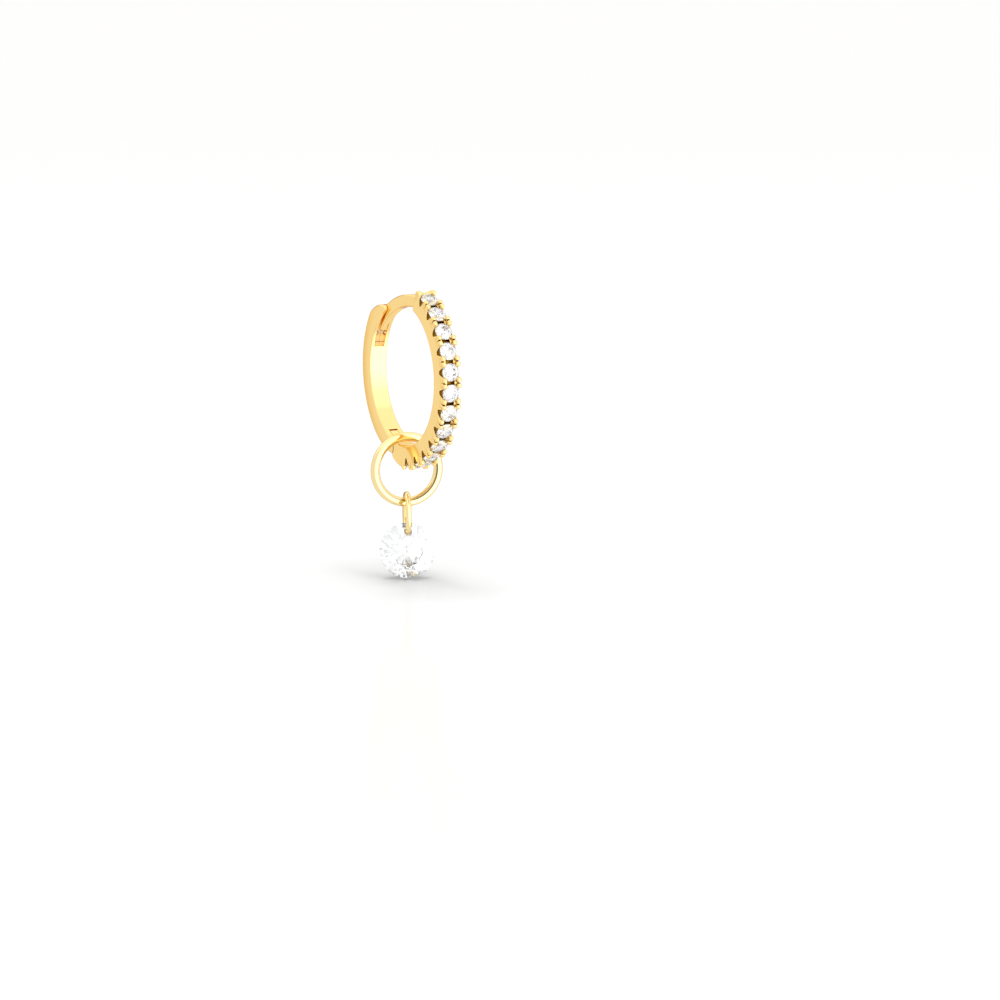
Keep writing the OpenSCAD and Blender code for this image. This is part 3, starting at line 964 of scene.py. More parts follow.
@dataclass(frozen=True)
class WireRing:
    """A ring of round wire, closed by a soldered butt joint.

    Args:
        outer_d: Outer diameter.
        wire_d: Diameter of the wire.
        centre: Middle of the ring, in millimetres in the row's frame.
        turn_deg: Turn about the vertical of a ring that faces along +X.
        joint_deg: Place of the joint round the ring, from its top.
        joint_dark: How dark the joint's groove looks.
        line_deg: Place of the fine drawn line on each face, from the face's middle inwards.
        line_shade_falloff: How much of the line's painted shade fades on the side opposite to where it
            is darkest.
        line_shade_peak_deg: Place round the ring where the line's painted shade is darkest, standing in
            for a dark reflection there.
        bunch: How strongly the mesh's turns bunch up at the joint.
        bunch_reach: How far round the ring they do so, in radians.
    """

    outer_d: float
    wire_d: float
    centre: tuple[float, float, float]
    turn_deg: float
    joint_deg: float
    joint_depth: float = 0.012
    joint_width: float = 0.05
    joint_dark: float = 0.5
    line_deg: float = 31.0
    line_depth: float = 0.016
    line_width: float = 0.055
    line_shade_falloff: float = 0.75
    line_shade_peak_deg: float = 100.0
    bunch: float = 0.92
    bunch_reach: float = 0.9
    sides: int = 96
    segments: int = 256

    def build(self, name: str) -> Object:
        """Makes the ring's mesh, standing upright in the row's frame."""
        mean_r = (self.outer_d - self.wire_d) / 2
        around = np.linspace(0, 2 * math.pi, self.segments, endpoint=False)
        joint = math.radians(self.joint_deg)
        gap = half_turn(around - joint)
        # The turns bunch up at the joint, where the groove needs them.
        around = joint + gap - self.bunch * np.sin(gap) * np.exp(-np.abs(gap) / self.bunch_reach)
        gap = half_turn(around - joint)
        joint_shade = np.exp(-((gap * mean_r / self.joint_width) ** 2))
        section = np.linspace(0, 2 * math.pi, self.sides, endpoint=False)
        # The section's angle runs from the outside of the ring, and its faces are at a right angle.
        inward = np.abs(np.abs(half_turn(section)) - math.pi / 2 - math.radians(self.line_deg))
        line_shade = np.exp(-((inward * self.wire_d / 2 / self.line_width) ** 2))
        wire_r = (self.wire_d / 2 - self.joint_depth * joint_shade[:, None]
                  - self.line_depth * line_shade[None, :])
        reach = mean_r + wire_r * np.cos(section)
        out = wire_r * np.sin(section)
        across = reach * np.sin(around)[:, None]
        up = reach * np.cos(around)[:, None]
        face = Matrix.Rotation(math.radians(self.turn_deg), 4, "Z")
        points = np.stack([out, across, up], 2).reshape(-1, 3)
        points = points @ np.array(face.to_3x3()).T + np.array(self.centre)
        i = np.arange(self.segments)[:, None]
        j = np.arange(self.sides)[None, :]
        here, there = i * self.sides, (i + 1) % self.segments * self.sides
        k = (j + 1) % self.sides
        quads = np.stack([here + j, here + k, there + k, there + j], 2).reshape(-1, 4)
        ring = new_object(name, mesh_of(name, points * MM, quads))
        # Painted shade: the line is darkest on one side of the ring, standing in for a dark reflection
        # there, and fades round the other side.
        reflection_side = 1 - self.line_shade_falloff * (0.5 - 0.5 * np.cos(around - math.radians(self.line_shade_peak_deg)))
        joint_shade = self.joint_dark * joint_shade
        shade = np.maximum(joint_shade[:, None], reflection_side[:, None] * line_shade[None, :]).ravel()
        set_values(ring.data, "recess", shade)
        return ring


@dataclass(frozen=True)
class BrilliantCut:
    """A round brilliant, cut facet by facet from a round blank.

    Args:
        diameter: Diameter at the girdle.
        crown: Height above the girdle.
        girdle: Thickness of the girdle.
        pavilion: Depth below the girdle.
        table_share: Width of the table as a share of the diameter.
        low_share: How near the culet the lower halves' tips come, as a share of the radius.
        sides: Sides of the round blank.
    """

    diameter: float
    crown: float
    girdle: float
    pavilion: float
    table_share: float = 0.56
    low_share: float = 0.25
    sides: int = 96

    def point(self, radius: float, deg: float, height: float) -> Vector:
        """A point of the cut, from its radius, angle and height."""
        flat = radius * unit(deg)
        return Vector((flat[0], flat[1], height))

    def facets(self) -> list[tuple[Vector, Vector, Vector]]:
        """Three points of each facet's plane, in the order in which they are cut."""
        r = self.diameter / 2
        table_r = self.table_share * r
        top = self.girdle / 2 + self.crown
        cos_half = math.cos(math.radians(SIXTEENTH))
        star_r = (table_r * cos_half + r) / 2
        star_z = self.girdle / 2 + self.crown * (r - star_r * cos_half) / (r - table_r)
        low_r = self.low_share * r
        low_z = -self.girdle / 2 - self.pavilion * (1 - low_r * cos_half / r)
        culet = Vector((0, 0, -self.girdle / 2 - self.pavilion))
        upper, lower = self.girdle / 2, -self.girdle / 2
        planes = [tuple(self.point(table_r, deg, top) for deg in (0, EIGHTH, 2 * EIGHTH))]
        for k in range(8):
            deg = EIGHTH * k
            table_a, table_b = (self.point(table_r, deg + turn, top) for turn in (0, EIGHTH))
            star_a, star_b = (self.point(star_r, deg + turn, star_z) for turn in (SIXTEENTH, -SIXTEENTH))
            low_a, low_b = (self.point(low_r, deg + turn, low_z) for turn in (SIXTEENTH, -SIXTEENTH))
            planes.append((table_a, star_b, star_a))
            planes.append((table_a, star_a, table_b))
            planes.append((culet, low_a, low_b))
            for turn in (0, SIXTEENTH):
                ends = (deg + turn, deg + turn + SIXTEENTH)
                planes.append((star_a, *(self.point(r, end, upper) for end in ends)))
                planes.append((low_a, *(self.point(r, end, lower) for end in reversed(ends))))
        return planes

    def cut(self) -> BMesh:
        """Cuts the blank by every facet's plane and returns it, in millimetres."""
        bm = bmesh.new()
        height = 3 * (self.crown + self.pavilion)
        bmesh.ops.create_cone(bm, cap_ends=True, segments=self.sides, radius1=self.diameter / 2,
                              radius2=self.diameter / 2, depth=height)
        for a, b, c in self.facets():
            normal = (b - a).cross(c - a).normalized()
            if normal.dot(a) < 0:
                normal.negate()
            parts = bm.verts[:] + bm.edges[:] + bm.faces[:]
            made = bmesh.ops.bisect_plane(bm, geom=parts, dist=1e-6, plane_co=a, plane_no=normal,
                                          clear_outer=True)
            edge = [e for e in made["geom_cut"] if isinstance(e, BMEdge)]
            if edge:
                bmesh.ops.contextual_create(bm, geom=edge)
        close_up(bm)
        for face in bm.faces:
            face.smooth = False
            upright = abs(face.normal.z) < 0.01
            face.material_index = StoneFace.GIRDLE if upright else StoneFace.FACET
        rim = bm.verts.layers.float.new("rim")
        for vert in bm.verts:
            vert[rim] = 2 * vert.co.xy.length / self.diameter
        return bm

    def build(self, name: str, place: Matrix) -> Object:
        """Makes the stone's object, its mesh placed in the row's frame."""
        bm = self.cut()
        bm.transform(Matrix.Scale(MM, 4) @ place)
        return object_of(name, bm)


# Finishes

PALE_PLATE = (0.94, 0.94, 0.96, 1.0)
# Colour of the painted shade on facets near a stone's rim, standing in for dark reflections there.
RIM_PAINTED_SHADE = (0.55, 0.57, 0.6, 1.0)
# Weights and steps that tell one facet's direction from the next, and one channel from the next.
FACET_WEIGHTS = (0.61, 1.37, 2.03)
FACET_STEP = 0.02
CHANNEL_PHASE = 2.1


class NodeKit:
    """Places and links shader nodes in one tree."""

    def __init__(self, tree: NodeTree) -> None:
        """Keeps the tree that the nodes go into."""
        self.tree = tree

    def add(self, kind: str, **settings: object) -> Node:
        """Adds a node and sets its properties."""
        node = self.tree.nodes.new(kind)
        for name, value in settings.items():
            setattr(node, name, value)
        return node

    def link(self, out: NodeSocket, into: NodeSocket) -> None:
        """Links an output to an input."""
        self.tree.links.new(out, into)

    def feed(self, socket: NodeSocket, value: object) -> None:
        """Gives an input what it works on: another node's output, or a plain value."""
        if isinstance(value, NodeSocket):
            self.link(value, socket)
        else:
            socket.default_value = value

    def math(self, operation: str, *values: object, clamp: bool = False) -> NodeSocket:
        """A Math node whose inputs are sockets or plain numbers.

        Args:
            operation: The node's operation.
            values: Its inputs in order.
            clamp: Whether the result is kept within 0 and 1.

        Returns:
            The node's output.
        """
        node = self.add("ShaderNodeMath", operation=operation, use_clamp=clamp)
        for socket, value in zip(node.inputs, values):
            self.feed(socket, value)
        return node.outputs[0]

    def vector(self, operation: str, *values: object) -> Node:
        """A Vector Math node whose inputs are sockets or plain vectors."""
        node = self.add("ShaderNodeVectorMath", operation=operation)
        for socket, value in zip(node.inputs, values):
            self.feed(socket, value)
        return node

    def mix(self, share: object, a: object, b: object) -> NodeSocket:
        """A colour mix whose inputs are sockets or plain values."""
        node = self.add("ShaderNodeMix", data_type="RGBA")
        for number, value in ((0, share), (6, a), (7, b)):
            self.feed(node.inputs[number], value)
        return node.outputs[2]

    def noise(self, place: object, scale: object, detail: float) -> NodeSocket:
        """A noise texture's value, from 0 to 1."""
        node = self.add("ShaderNodeTexNoise")
        for name, value in (("Vector", place), ("Scale", scale), ("Detail", detail)):
            self.feed(node.inputs[name], value)
        return node.outputs["Fac"]

    def attribute(self, name: str) -> NodeSocket:
        """A number that the mesh keeps for each of its points."""
        return self.add("ShaderNodeAttribute", attribute_name=name).outputs["Fac"]


@dataclass(frozen=True)
class Port:
    """A named input or output of a shader group."""

    name: str
    kind: SocketKind = SocketKind.FLOAT
    value: object = None


def ports(kind: SocketKind, *names: str) -> list[Port]:
    """Ports of one kind, without values of their own."""
    return [Port(name, kind) for name in names]


class ShaderGroup:
    """A node group with named ports, built once and placed with its own values."""

    def __init__(self, name: str, inputs: list[Port], outputs: list[Port]) -> None:
        """Makes the group and its ports.

        Args:
            name: The group's name.
            inputs: Its inputs, with their usual values.
            outputs: Its outputs.
        """
        self.tree = bpy.data.node_groups.new(name, "ShaderNodeTree")
        for way, listed in (("INPUT", inputs), ("OUTPUT", outputs)):
            for port in listed:
                socket = self.tree.interface.new_socket(port.name, in_out=way,
                                                        socket_type=port.kind.value)
                if port.value is not None:
                    socket.default_value = port.value
        self.kit = NodeKit(self.tree)
        self.source = self.kit.add("NodeGroupInput").outputs
        self.sink = self.kit.add("NodeGroupOutput").inputs

    def place(self, kit: NodeKit, **values: object) -> Node:
        """Places the group in a material, with spaces in port names as underscores."""
        node = kit.add("ShaderNodeGroup", node_tree=self.tree)
        for name, value in values.items():
            kit.feed(node.inputs[name.replace("_", " ")], value)
        return node


def plating_and_painted_shade_group() -> ShaderGroup:
    """Colour of gold plate, with painted shade that deepens it in recesses and a faint change over the
    surface.
    """
    group = ShaderGroup(
        "plating_and_painted_shade",
        [*ports(SocketKind.VECTOR, "Place"), *ports(SocketKind.FLOAT, "Recess", "Pale"),
         *ports(SocketKind.COLOR, "Bright", "Deep"), Port("Cloud Size", value=900.0),
         Port("Cloud Share", value=0.06)],
        ports(SocketKind.COLOR, "Color"))
    kit, source = group.kit, group.source
    cloud = kit.noise(source["Place"], source["Cloud Size"], detail=3.0)
    drift = kit.math("MULTIPLY", cloud, source["Cloud Share"])
    # Painted shade: the recess value mixes the plate towards the deep colour.
    hidden = kit.math("POWER", source["Recess"], 0.9)
    share = kit.math("ADD", hidden, drift, clamp=True)
    metal = kit.mix(share, source["Bright"], source["Deep"])
    kit.link(kit.mix(source["Pale"], metal, PALE_PLATE), group.sink["Color"])
    return group


def polish_group() -> ShaderGroup:
    """Roughness and fine marks of polished metal, duller in recesses."""
    group = ShaderGroup(
        "polish",
        [*ports(SocketKind.VECTOR, "Place"), Port("Recess"), Port("Open", value=0.05),
         Port("Hidden", value=0.3), Port("Mark Size", value=6000.0), Port("Wave Size", value=1400.0)],
        ports(SocketKind.FLOAT, "Roughness", "Height"))
    kit, source = group.kit, group.source
    marks = kit.noise(source["Place"], source["Mark Size"], detail=4.0)
    waves = kit.noise(source["Place"], source["Wave Size"], detail=1.0)
    spread = kit.math("SUBTRACT", source["Hidden"], source["Open"])
    dull = kit.math("MULTIPLY", source["Recess"], spread)
    speck = kit.math("MULTIPLY", marks, source["Open"])
    rough = kit.math("ADD", kit.math("ADD", source["Open"], dull), speck, clamp=True)
    kit.link(rough, group.sink["Roughness"])
    fine = kit.math("MULTIPLY", marks, 0.15)
    kit.link(kit.math("ADD", waves, fine), group.sink["Height"])
    return group


def facet_fire_group() -> ShaderGroup:
    """Painted fire and shade on a cut stone: a faint tint that changes from facet to facet, standing in
    for dispersed light, and painted shade on the facets near the rim.
    """
    group = ShaderGroup(
        "facet_fire",
        [*ports(SocketKind.VECTOR, "Facing"), Port("Rim"), *ports(SocketKind.COLOR, "Clear"),
         Port("Strength", value=0.06), Port("Order", value=9.0), Port("Rim Shade", value=0.5)],
        ports(SocketKind.COLOR, "Color"))
    kit, source = group.kit, group.source
    turned = kit.vector("DOT_PRODUCT", source["Facing"], FACET_WEIGHTS).outputs["Value"]
    wave = kit.math("MULTIPLY", turned, source["Order"])
    tint = kit.add("ShaderNodeCombineColor")
    for number, channel in enumerate(("Red", "Green", "Blue")):
        phase = kit.math("ADD", wave, CHANNEL_PHASE * number)
        swing = kit.math("MULTIPLY", kit.math("SINE", phase), 0.5)
        kit.link(kit.math("ADD", swing, 0.5), tint.inputs[channel])
    fire = kit.mix(source["Strength"], source["Clear"], tint.outputs["Color"])
    grain = kit.add("ShaderNodeTexWhiteNoise", noise_dimensions="3D")
    steps = kit.vector("SNAP", source["Facing"], (FACET_STEP,) * 3).outputs["Vector"]
    kit.link(steps, grain.inputs["Vector"])
    shade = kit.math("MULTIPLY", kit.math("POWER", grain.outputs["Value"], 2.0), source["Rim Shade"])
    edge = kit.math("MULTIPLY", kit.math("POWER", source["Rim"], 5.0), shade, clamp=True)
    kit.link(kit.mix(edge, fire, RIM_PAINTED_SHADE), group.sink["Color"])
    return group


class Groups:
    """The shader groups that the finishes share, each built once."""

    def __init__(self) -> None:
        """Builds every group."""
        self.tone = plating_and_painted_shade_group()
        self.polish = polish_group()
        self.fire = facet_fire_group()


def new_material(name: str) -> tuple[Material, NodeKit, Node]:
    """Makes a material with only a Principled BSDF and its output.

    Args:
        name: The material's name.

    Returns:
        The material, a kit for its nodes, and the shader.
    """
    material = bpy.data.materials.new(name)
    material.use_nodes = True
    kit = NodeKit(material.node_tree)
    return material, kit, material.node_tree.nodes["Principled BSDF"]


@dataclass(frozen=True)
class GoldPlate:
    """Polished gold plate on brass.

    Args:
        name: The material's name.
        bright: Colour of the open plating.
        deep: Colour of the painted shade in recesses.
        open_rough: Roughness in the open.
        hidden_rough: Roughness in recesses.
        wave_height: Height of the faint waves left by polishing, in metres.
        edge_tint: Tint of what the plating mirrors at a grazing angle.
    """

    name: str
    bright: RGBA = (0.965, 0.705, 0.3, 1.0)
    deep: RGBA = (0.27, 0.155, 0.015, 1.0)
    open_rough: float = 0.06
    hidden_rough: float = 0.32
    wave_height: float = 4e-7
    edge_tint: RGBA = (1.0, 0.86, 0.62, 1.0)

    def material(self, groups: Groups) -> Material:
        """Builds the finish."""
        material, kit, shader = new_material(self.name)
        place = kit.add("ShaderNodeTexCoord").outputs["Object"]
        recess = kit.attribute("recess")
        tone = groups.tone.place(kit, Place=place, Recess=recess, Pale=kit.attribute("pale"),
                                 Bright=self.bright, Deep=self.deep)
        polish = groups.polish.place(kit, Place=place, Recess=recess, Open=self.open_rough,
                                     Hidden=self.hidden_rough)
        bump = kit.add("ShaderNodeBump")
        bump.inputs["Strength"].default_value = 1.0
        bump.inputs["Distance"].default_value = self.wave_height
        kit.link(polish.outputs["Height"], bump.inputs["Height"])
        kit.link(tone.outputs["Color"], shader.inputs["Base Color"])
        kit.link(polish.outputs["Roughness"], shader.inputs["Roughness"])
        kit.link(bump.outputs["Normal"], shader.inputs["Normal"])
        shader.inputs["Metallic"].default_value = 1.0
        shader.inputs["Specular Tint"].default_value = self.edge_tint
        return material


@dataclass(frozen=True)
class CutStone:
    """Clear stone with flat polished facets.

    Args:
        name: The material's name.
        clear: Colour of the stone.
        fire: Strength of the painted fire: a faint tint that changes from facet to facet, standing in
            for dispersed light.
        index: How strongly the stone bends light.
        rough: Roughness of its surface.
        silvered: Share of light that its surface mirrors like metal.
        rim_shade: How much painted shade the facets near the rim get.
    """

    name: str
    clear: RGBA = (0.985, 0.988, 0.995, 1.0)
    fire: float = 0.05
    index: float = 2.15
    rough: float = 0.0
    silvered: float = 0.0
    rim_shade: float = 0.1

    def material(self, groups: Groups) -> Material:
        """Builds the finish."""
        material, kit, shader = new_material(self.name)
        facing = kit.add("ShaderNodeNewGeometry").outputs["True Normal"]
        fire = groups.fire.place(kit, Facing=facing, Rim=kit.attribute("rim"), Clear=self.clear,
                                 Strength=self.fire, Rim_Shade=self.rim_shade)
        kit.link(fire.outputs["Color"], shader.inputs["Base Color"])
        shader.inputs["Transmission Weight"].default_value = 1.0
        shader.inputs["Metallic"].default_value = self.silvered
        shader.inputs["IOR"].default_value = self.index
        shader.inputs["Roughness"].default_value = self.rough
        return material


# Sub-assemblies


@dataclass
class HoopAssembly:
    """Both halves of the hoop and the pin that joins them."""

    front: FrontHalf = field(default_factory=FrontHalf)
    back: BackHalf = field(default_factory=BackHalf)
    front_span: tuple[float, float] = (-123.0, 149.0)
    front_radii: tuple[float, float] = (4.5, 6.8)
    back_span: tuple[float, float] = (118.0, 262.0)
    back_radii: tuple[float, float] = (4.95, 6.58)
    cell: float = 0.036
    margin_cells: int = 3
    most_triangles: int = 190_000
    pin_dome: float = 0.03
    pin_dome_from: float = 0.3
    pin_dome_steps: int = 6
    pin_sides: int = 40

    def build(self, gold: Material) -> list[Object]:
        """Pours both castings and makes the pin.

        Args:
            gold: The castings' finish.

        Returns:
            The pieces.
        """
        founder = Founder(self.cell, self.most_triangles)
        half = self.front.hoop.width / 2 + self.margin_cells * self.cell
        front_grid = Grid(self.front_span, self.front_radii, half, self.cell)
        back_grid = Grid(self.back_span, self.back_radii, half, self.cell)
        front = founder.pour("front_half_casting", self.front, front_grid)
        back = founder.pour("back_half_casting", self.back, back_grid)
        return [hand_over(front, "front_half", Side.FRONT, Slot.GOLD, gold),
                hand_over(back, "back_half", Side.BACK, Slot.GOLD, gold),
                hand_over(self.pin(self.front.hoop), "hinge_pin", Side.FRONT, Slot.GOLD, gold)]

    def pin(self, hoop: Hoop) -> Object:
        """The hinge pin, its ends slightly domed by the riveting hammer."""
        r, half = hoop.pin_d / 2, hoop.width / 2
        turns = np.linspace(self.pin_dome_from, math.pi / 2, self.pin_dome_steps)
        profile = [(0.0, half)]
        profile += [(r * math.sin(t), half - self.pin_dome * (1 - math.cos(t))) for t in turns]
        outline = profile + [(reach, -along) for reach, along in reversed(profile)]
        place = Matrix.Translation((hoop.pin[0], 0, hoop.pin[1] + hoop.centre_z))
        lying = place @ Matrix.Rotation(math.pi / 2, 4, "X")
        return revolved("hinge_pin_rivet", outline, self.pin_sides, lying)


@dataclass
class StoneSetting:
    """The stones of the row, each in its own seat."""

    hoop: Hoop = field(default_factory=Hoop)
    row: StoneRow = field(default_factory=StoneRow)

    def build(self, finish: Material) -> list[Object]:
        """Cuts and sets every stone of the row.

        Args:
            finish: The stones' finish.

        Returns:
            The stones, from the top of the hoop down.
        """
        cut = BrilliantCut(self.row.diameter, self.row.crown, self.row.girdle, self.row.pavilion)
        stones = []
        for number in range(self.row.count):
            deg = self.row.first_deg - number * self.row.step
            place = (Matrix.Translation((0, 0, self.hoop.centre_z))
                     @ Matrix.Rotation(math.radians(90 - deg), 4, "Y")
                     @ Matrix.Translation((0, 0, self.hoop.girdle_r)))
            stone = cut.build(f"row_stone_{number + 1:02d}", place)
            stones.append(hand_over(stone, f"stone_{number + 1:02d}", Side.FRONT, Slot.ROW_STONE,
                                    finish, finish))
        return stones


@dataclass
class Charm:
    """The slide-on charm: carrier ring, bail ring and drilled drop stone."""

    x: float = -0.5
    carrier_od: float = 5.34
    carrier_wire: float = 0.65
    carrier_turn: float = -8.0
    bail_od: float = 3.11
    bail_wire: float = 0.41
    bail_turn: float = -21.0
    joint_deg: float = 40.0
    drop_d: float = 4.0
    drop_crown: float = 0.56
    drop_girdle: float = 0.1
    drop_pavilion: float = 1.6
    hole_r: float = 0.3
    hole_wall: float = 0.325
    hole_sides: int = 48
    drill_reach: float = 2.0

    def ring_centre(self, node: str) -> tuple[float, float, float]:
        """Middle of a ring's CAD node, in millimetres."""
        low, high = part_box(node)
        return tuple((low + high) / 2 / MM)

    def build(self, gold: Material, stone: Material, frosted: Material) -> list[Object]:
        """Makes the two rings and the drop stone.

        Args:
            gold: Finish of the rings.
            stone: Finish of the stone's facets.
            frosted: Finish of its girdle.

        Returns:
            The pieces, from the top down.
        """
        carrier = WireRing(self.carrier_od, self.carrier_wire, self.ring_centre("carrier_ring"),
                           self.carrier_turn, self.joint_deg).build("carrier_ring_wire")
        bail = WireRing(self.bail_od, self.bail_wire, self.ring_centre("bail_ring"),
                        self.bail_turn + 90, self.joint_deg, line_depth=0.006, line_width=0.02,
                        sides=72, segments=200).build("bail_ring_wire")
        drop = self.drop_stone(stone, frosted)
        return [hand_over(carrier, "carrier_ring", Side.CARRIER, Slot.GOLD, gold),
                hand_over(bail, "bail_ring", Side.BAIL, Slot.GOLD, gold),
                hand_over(drop, "drop_stone", Side.DROP, Slot.DROP_STONE)]

    def drop_stone(self, finish: Material, frosted: Material) -> Object:
        """The drilled brilliant, its table turned the way the bail faces."""
        cut = BrilliantCut(self.drop_d, self.drop_crown, self.drop_girdle, self.drop_pavilion)
        facing = Matrix.Rotation(math.radians(self.bail_turn), 4, "Z")
        turn = facing @ Matrix.Rotation(math.pi / 2, 4, "Y")
        stone = cut.build("drop_stone_cut", turn)
        low, high = (Vector(corner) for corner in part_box("drop_stone"))
        box = [Vector(corner) for corner in stone.bound_box]
        centre = (Vector(map(min, zip(*box))) + Vector(map(max, zip(*box)))) / 2
        stone.data.transform(Matrix.Translation((low + high) / 2 - centre))
        for surface in (finish, frosted, finish):
            stone.data.materials.append(surface)
        hole_z = (low.z + high.z) / 2 / MM + self.drop_d / 2 - self.hole_wall - self.hole_r
        self.drill(stone, Matrix.Translation((self.x, 0, hole_z)) @ turn)
        return stone

    def drill(self, stone: Object, place: Matrix) -> None:
        """Drills the hole, whose wall takes the stone's third finish.

        Args:
            stone: The stone.
            place: The hole's axis along Z, in millimetres in the row's frame.
        """
        reach = self.drill_reach
        outline = [(0, reach), (self.hole_r, reach), (self.hole_r, -reach), (0, -reach)]
        drill = revolved("drill", outline, self.hole_sides, place)
        for finish in stone.data.materials:
            drill.data.materials.append(finish)
        for face in drill.data.polygons:
            face.material_index = StoneFace.BORE
        hole = stone.modifiers.new("hole", "BOOLEAN")
        hole.object = drill
        hole.operation = "DIFFERENCE"
        hole.solver = "EXACT"
        hole.material_mode = "INDEX"
        apply_modifiers(stone)
        bpy.data.objects.remove(drill)
        for face in stone.data.polygons:
            face.use_smooth = face.material_index != StoneFace.FACET


# Stage

VIEW_AZIMUTH = 63.66
# The photograph's camera looks this way, so a card there lies behind the earring.
BEHIND = VIEW_AZIMUTH + 90


@dataclass(frozen=True)
class Card:
    """A rounded card or softbox in the studio dome, as the earring sees it.

    Args:
        azimuth: Where its middle stands, in degrees from +X towards +Y.
        elevation: How high its middle is, in degrees.
        width: Half of its width, as a slope seen from the earring.
        height: Half of its height, as a slope.
        level: Its brightness; white paper at the photograph's exposure is 1.
        soft: Width of its blurred edge, as a slope.
        tint: Its colour.
    """

    azimuth: float
    elevation: float
    width: float
    height: float
    level: float
    soft: float = 0.15
    tint: RGB = (1.0, 1.0, 1.0)

    def toward(self) -> Vector:
        """Direction from the earring to the card's middle."""
        az, el = math.radians(self.azimuth), math.radians(self.elevation)
        return Vector((math.cos(az) * math.cos(el), math.sin(az) * math.cos(el), math.sin(el)))

    def colour(self) -> RGBA:
        """The light that the card gives."""
        return tuple(self.level * channel for channel in self.tint) + (1.0,)


@dataclass
class Studio:
    """White floor, soft dome and the camera at the photograph's place."""

    # The camera, and where the photograph shows the hoop's centre
    hoop: Hoop = field(default_factory=Hoop)
    azimuth: float = VIEW_AZIMUTH
    elevation: float = 8.0
    distance: float = 246.5
    lens: float = 126.0
    hoop_pixel: tuple[float, float] = (410.0, 373.5)
    middle_pixel: float = 500.0
    pixels_per_mm: float = 14.2
    # The floor and its lamp
    floor_z: float = -19.93
    floor_reach: float = 4.0
    floor_white: float = 0.36
    floor_rough: float = 0.2
    floor_gloss: float = 0.1
    lamp_power: float = 4.95
    lamp_angle: float = 30.0
    # How often light may bounce: stones pass it on many times before it comes out
    max_bounces: int = 18
    glossy_bounces: int = 10
    transmission_bounces: int = 16
    # What metal mirrors: light from above and from the right, a warm card for the near side
    # faces, and dark ones for the ring's fine line and the hoop's inner bottom
    card_corner: float = 0.7
    metal_base: float = 1.0
    metal_cards: tuple[Card, ...] = (
        Card(azimuth=0, elevation=85, width=1.3, height=1.3, level=1.3, soft=0.8),
        Card(azimuth=8, elevation=10, width=1.1, height=1.1, level=1.65, soft=0.4),
        Card(azimuth=30, elevation=-15, width=0.5, height=0.6, level=2.7, soft=0.9),
        Card(azimuth=188, elevation=-8, width=0.17, height=0.6, level=0.86, soft=0.16,
             tint=(1.0, 0.84, 0.6)),
        Card(azimuth=205, elevation=38, width=0.5, height=0.35, level=1.4, soft=0.3),
        Card(azimuth=175, elevation=9, width=0.13, height=0.16, level=0.1, soft=0.1),
        Card(azimuth=BEHIND, elevation=-10, width=0.4, height=0.2, level=0.38, soft=0.16,
             tint=(1.0, 0.86, 0.66)),
        Card(azimuth=BEHIND, elevation=-8, width=0.1, height=0.1, level=1.0, soft=0.08),
    )
    # What is seen through the stones: a soft card behind, and small dark ones for their facets
    glass_base: float = 1.15
    glass_cards: tuple[Card, ...] = (
        Card(azimuth=BEHIND, elevation=0, width=0.7, height=0.6, level=0.84, soft=0.3),
        Card(azimuth=BEHIND, elevation=-8, width=0.14, height=0.14, level=1.0, soft=0.1),
        Card(azimuth=-15, elevation=0, width=0.25, height=0.35, level=0.87, soft=0.15),
        Card(azimuth=-75, elevation=30, width=0.12, height=0.5, level=0.35, soft=0.06),
        Card(azimuth=35, elevation=-30, width=0.14, height=0.4, level=0.4, soft=0.06),
        Card(azimuth=-20, elevation=62, width=0.5, height=0.12, level=0.4, soft=0.06),
        Card(azimuth=-60, elevation=-45, width=0.3, height=0.1, level=0.45, soft=0.06),
    )

    def build(self) -> None:
        """Makes the dome, the floor and the camera."""
        self.dome()
        self.floor()
        self.lamp()
        self.camera()
        light_paths = bpy.context.scene.cycles
        light_paths.max_bounces = self.max_bounces
        light_paths.glossy_bounces = self.glossy_bounces
        light_paths.transmission_bounces = self.transmission_bounces
        view = bpy.context.scene.view_settings
        view.view_transform = "Standard"
        view.look = "None"

    def card_group(self) -> ShaderGroup:
        """Mask of one card with rounded corners and a soft edge."""
        group = ShaderGroup(
            "studio_card",
            ports(SocketKind.VECTOR, "Direction", "Toward", "Sideways", "Upwards")
            + ports(SocketKind.FLOAT, "Width", "Height", "Soft", "Corner"),
            ports(SocketKind.FLOAT, "Mask"))
        kit, source = group.kit, group.source
        ahead = kit.vector("DOT_PRODUCT", source["Direction"], source["Toward"]).outputs["Value"]
        depth = kit.math("MAXIMUM", ahead, 0.001)
        shorter = kit.math("MINIMUM", source["Width"], source["Height"])
        corner = kit.math("MULTIPLY", shorter, source["Corner"])
        outside = []
        for way, size in (("Sideways", "Width"), ("Upwards", "Height")):
            off = kit.vector("DOT_PRODUCT", source["Direction"], source[way]).outputs["Value"]
            slope = kit.math("ABSOLUTE", kit.math("DIVIDE", off, depth))
            over = kit.math("ADD", kit.math("SUBTRACT", slope, source[size]), corner)
            outside.append(kit.math("POWER", kit.math("MAXIMUM", over, 0.0), 2.0))
        reach = kit.math("SUBTRACT", kit.math("SQRT", kit.math("ADD", *outside)), corner)
        inside = kit.math("SUBTRACT", 0.5, kit.math("DIVIDE", reach, source["Soft"]), clamp=True)
        front = kit.math("GREATER_THAN", ahead, 0.0)
        kit.link(kit.math("MULTIPLY", inside, front), group.sink["Mask"])
        return group

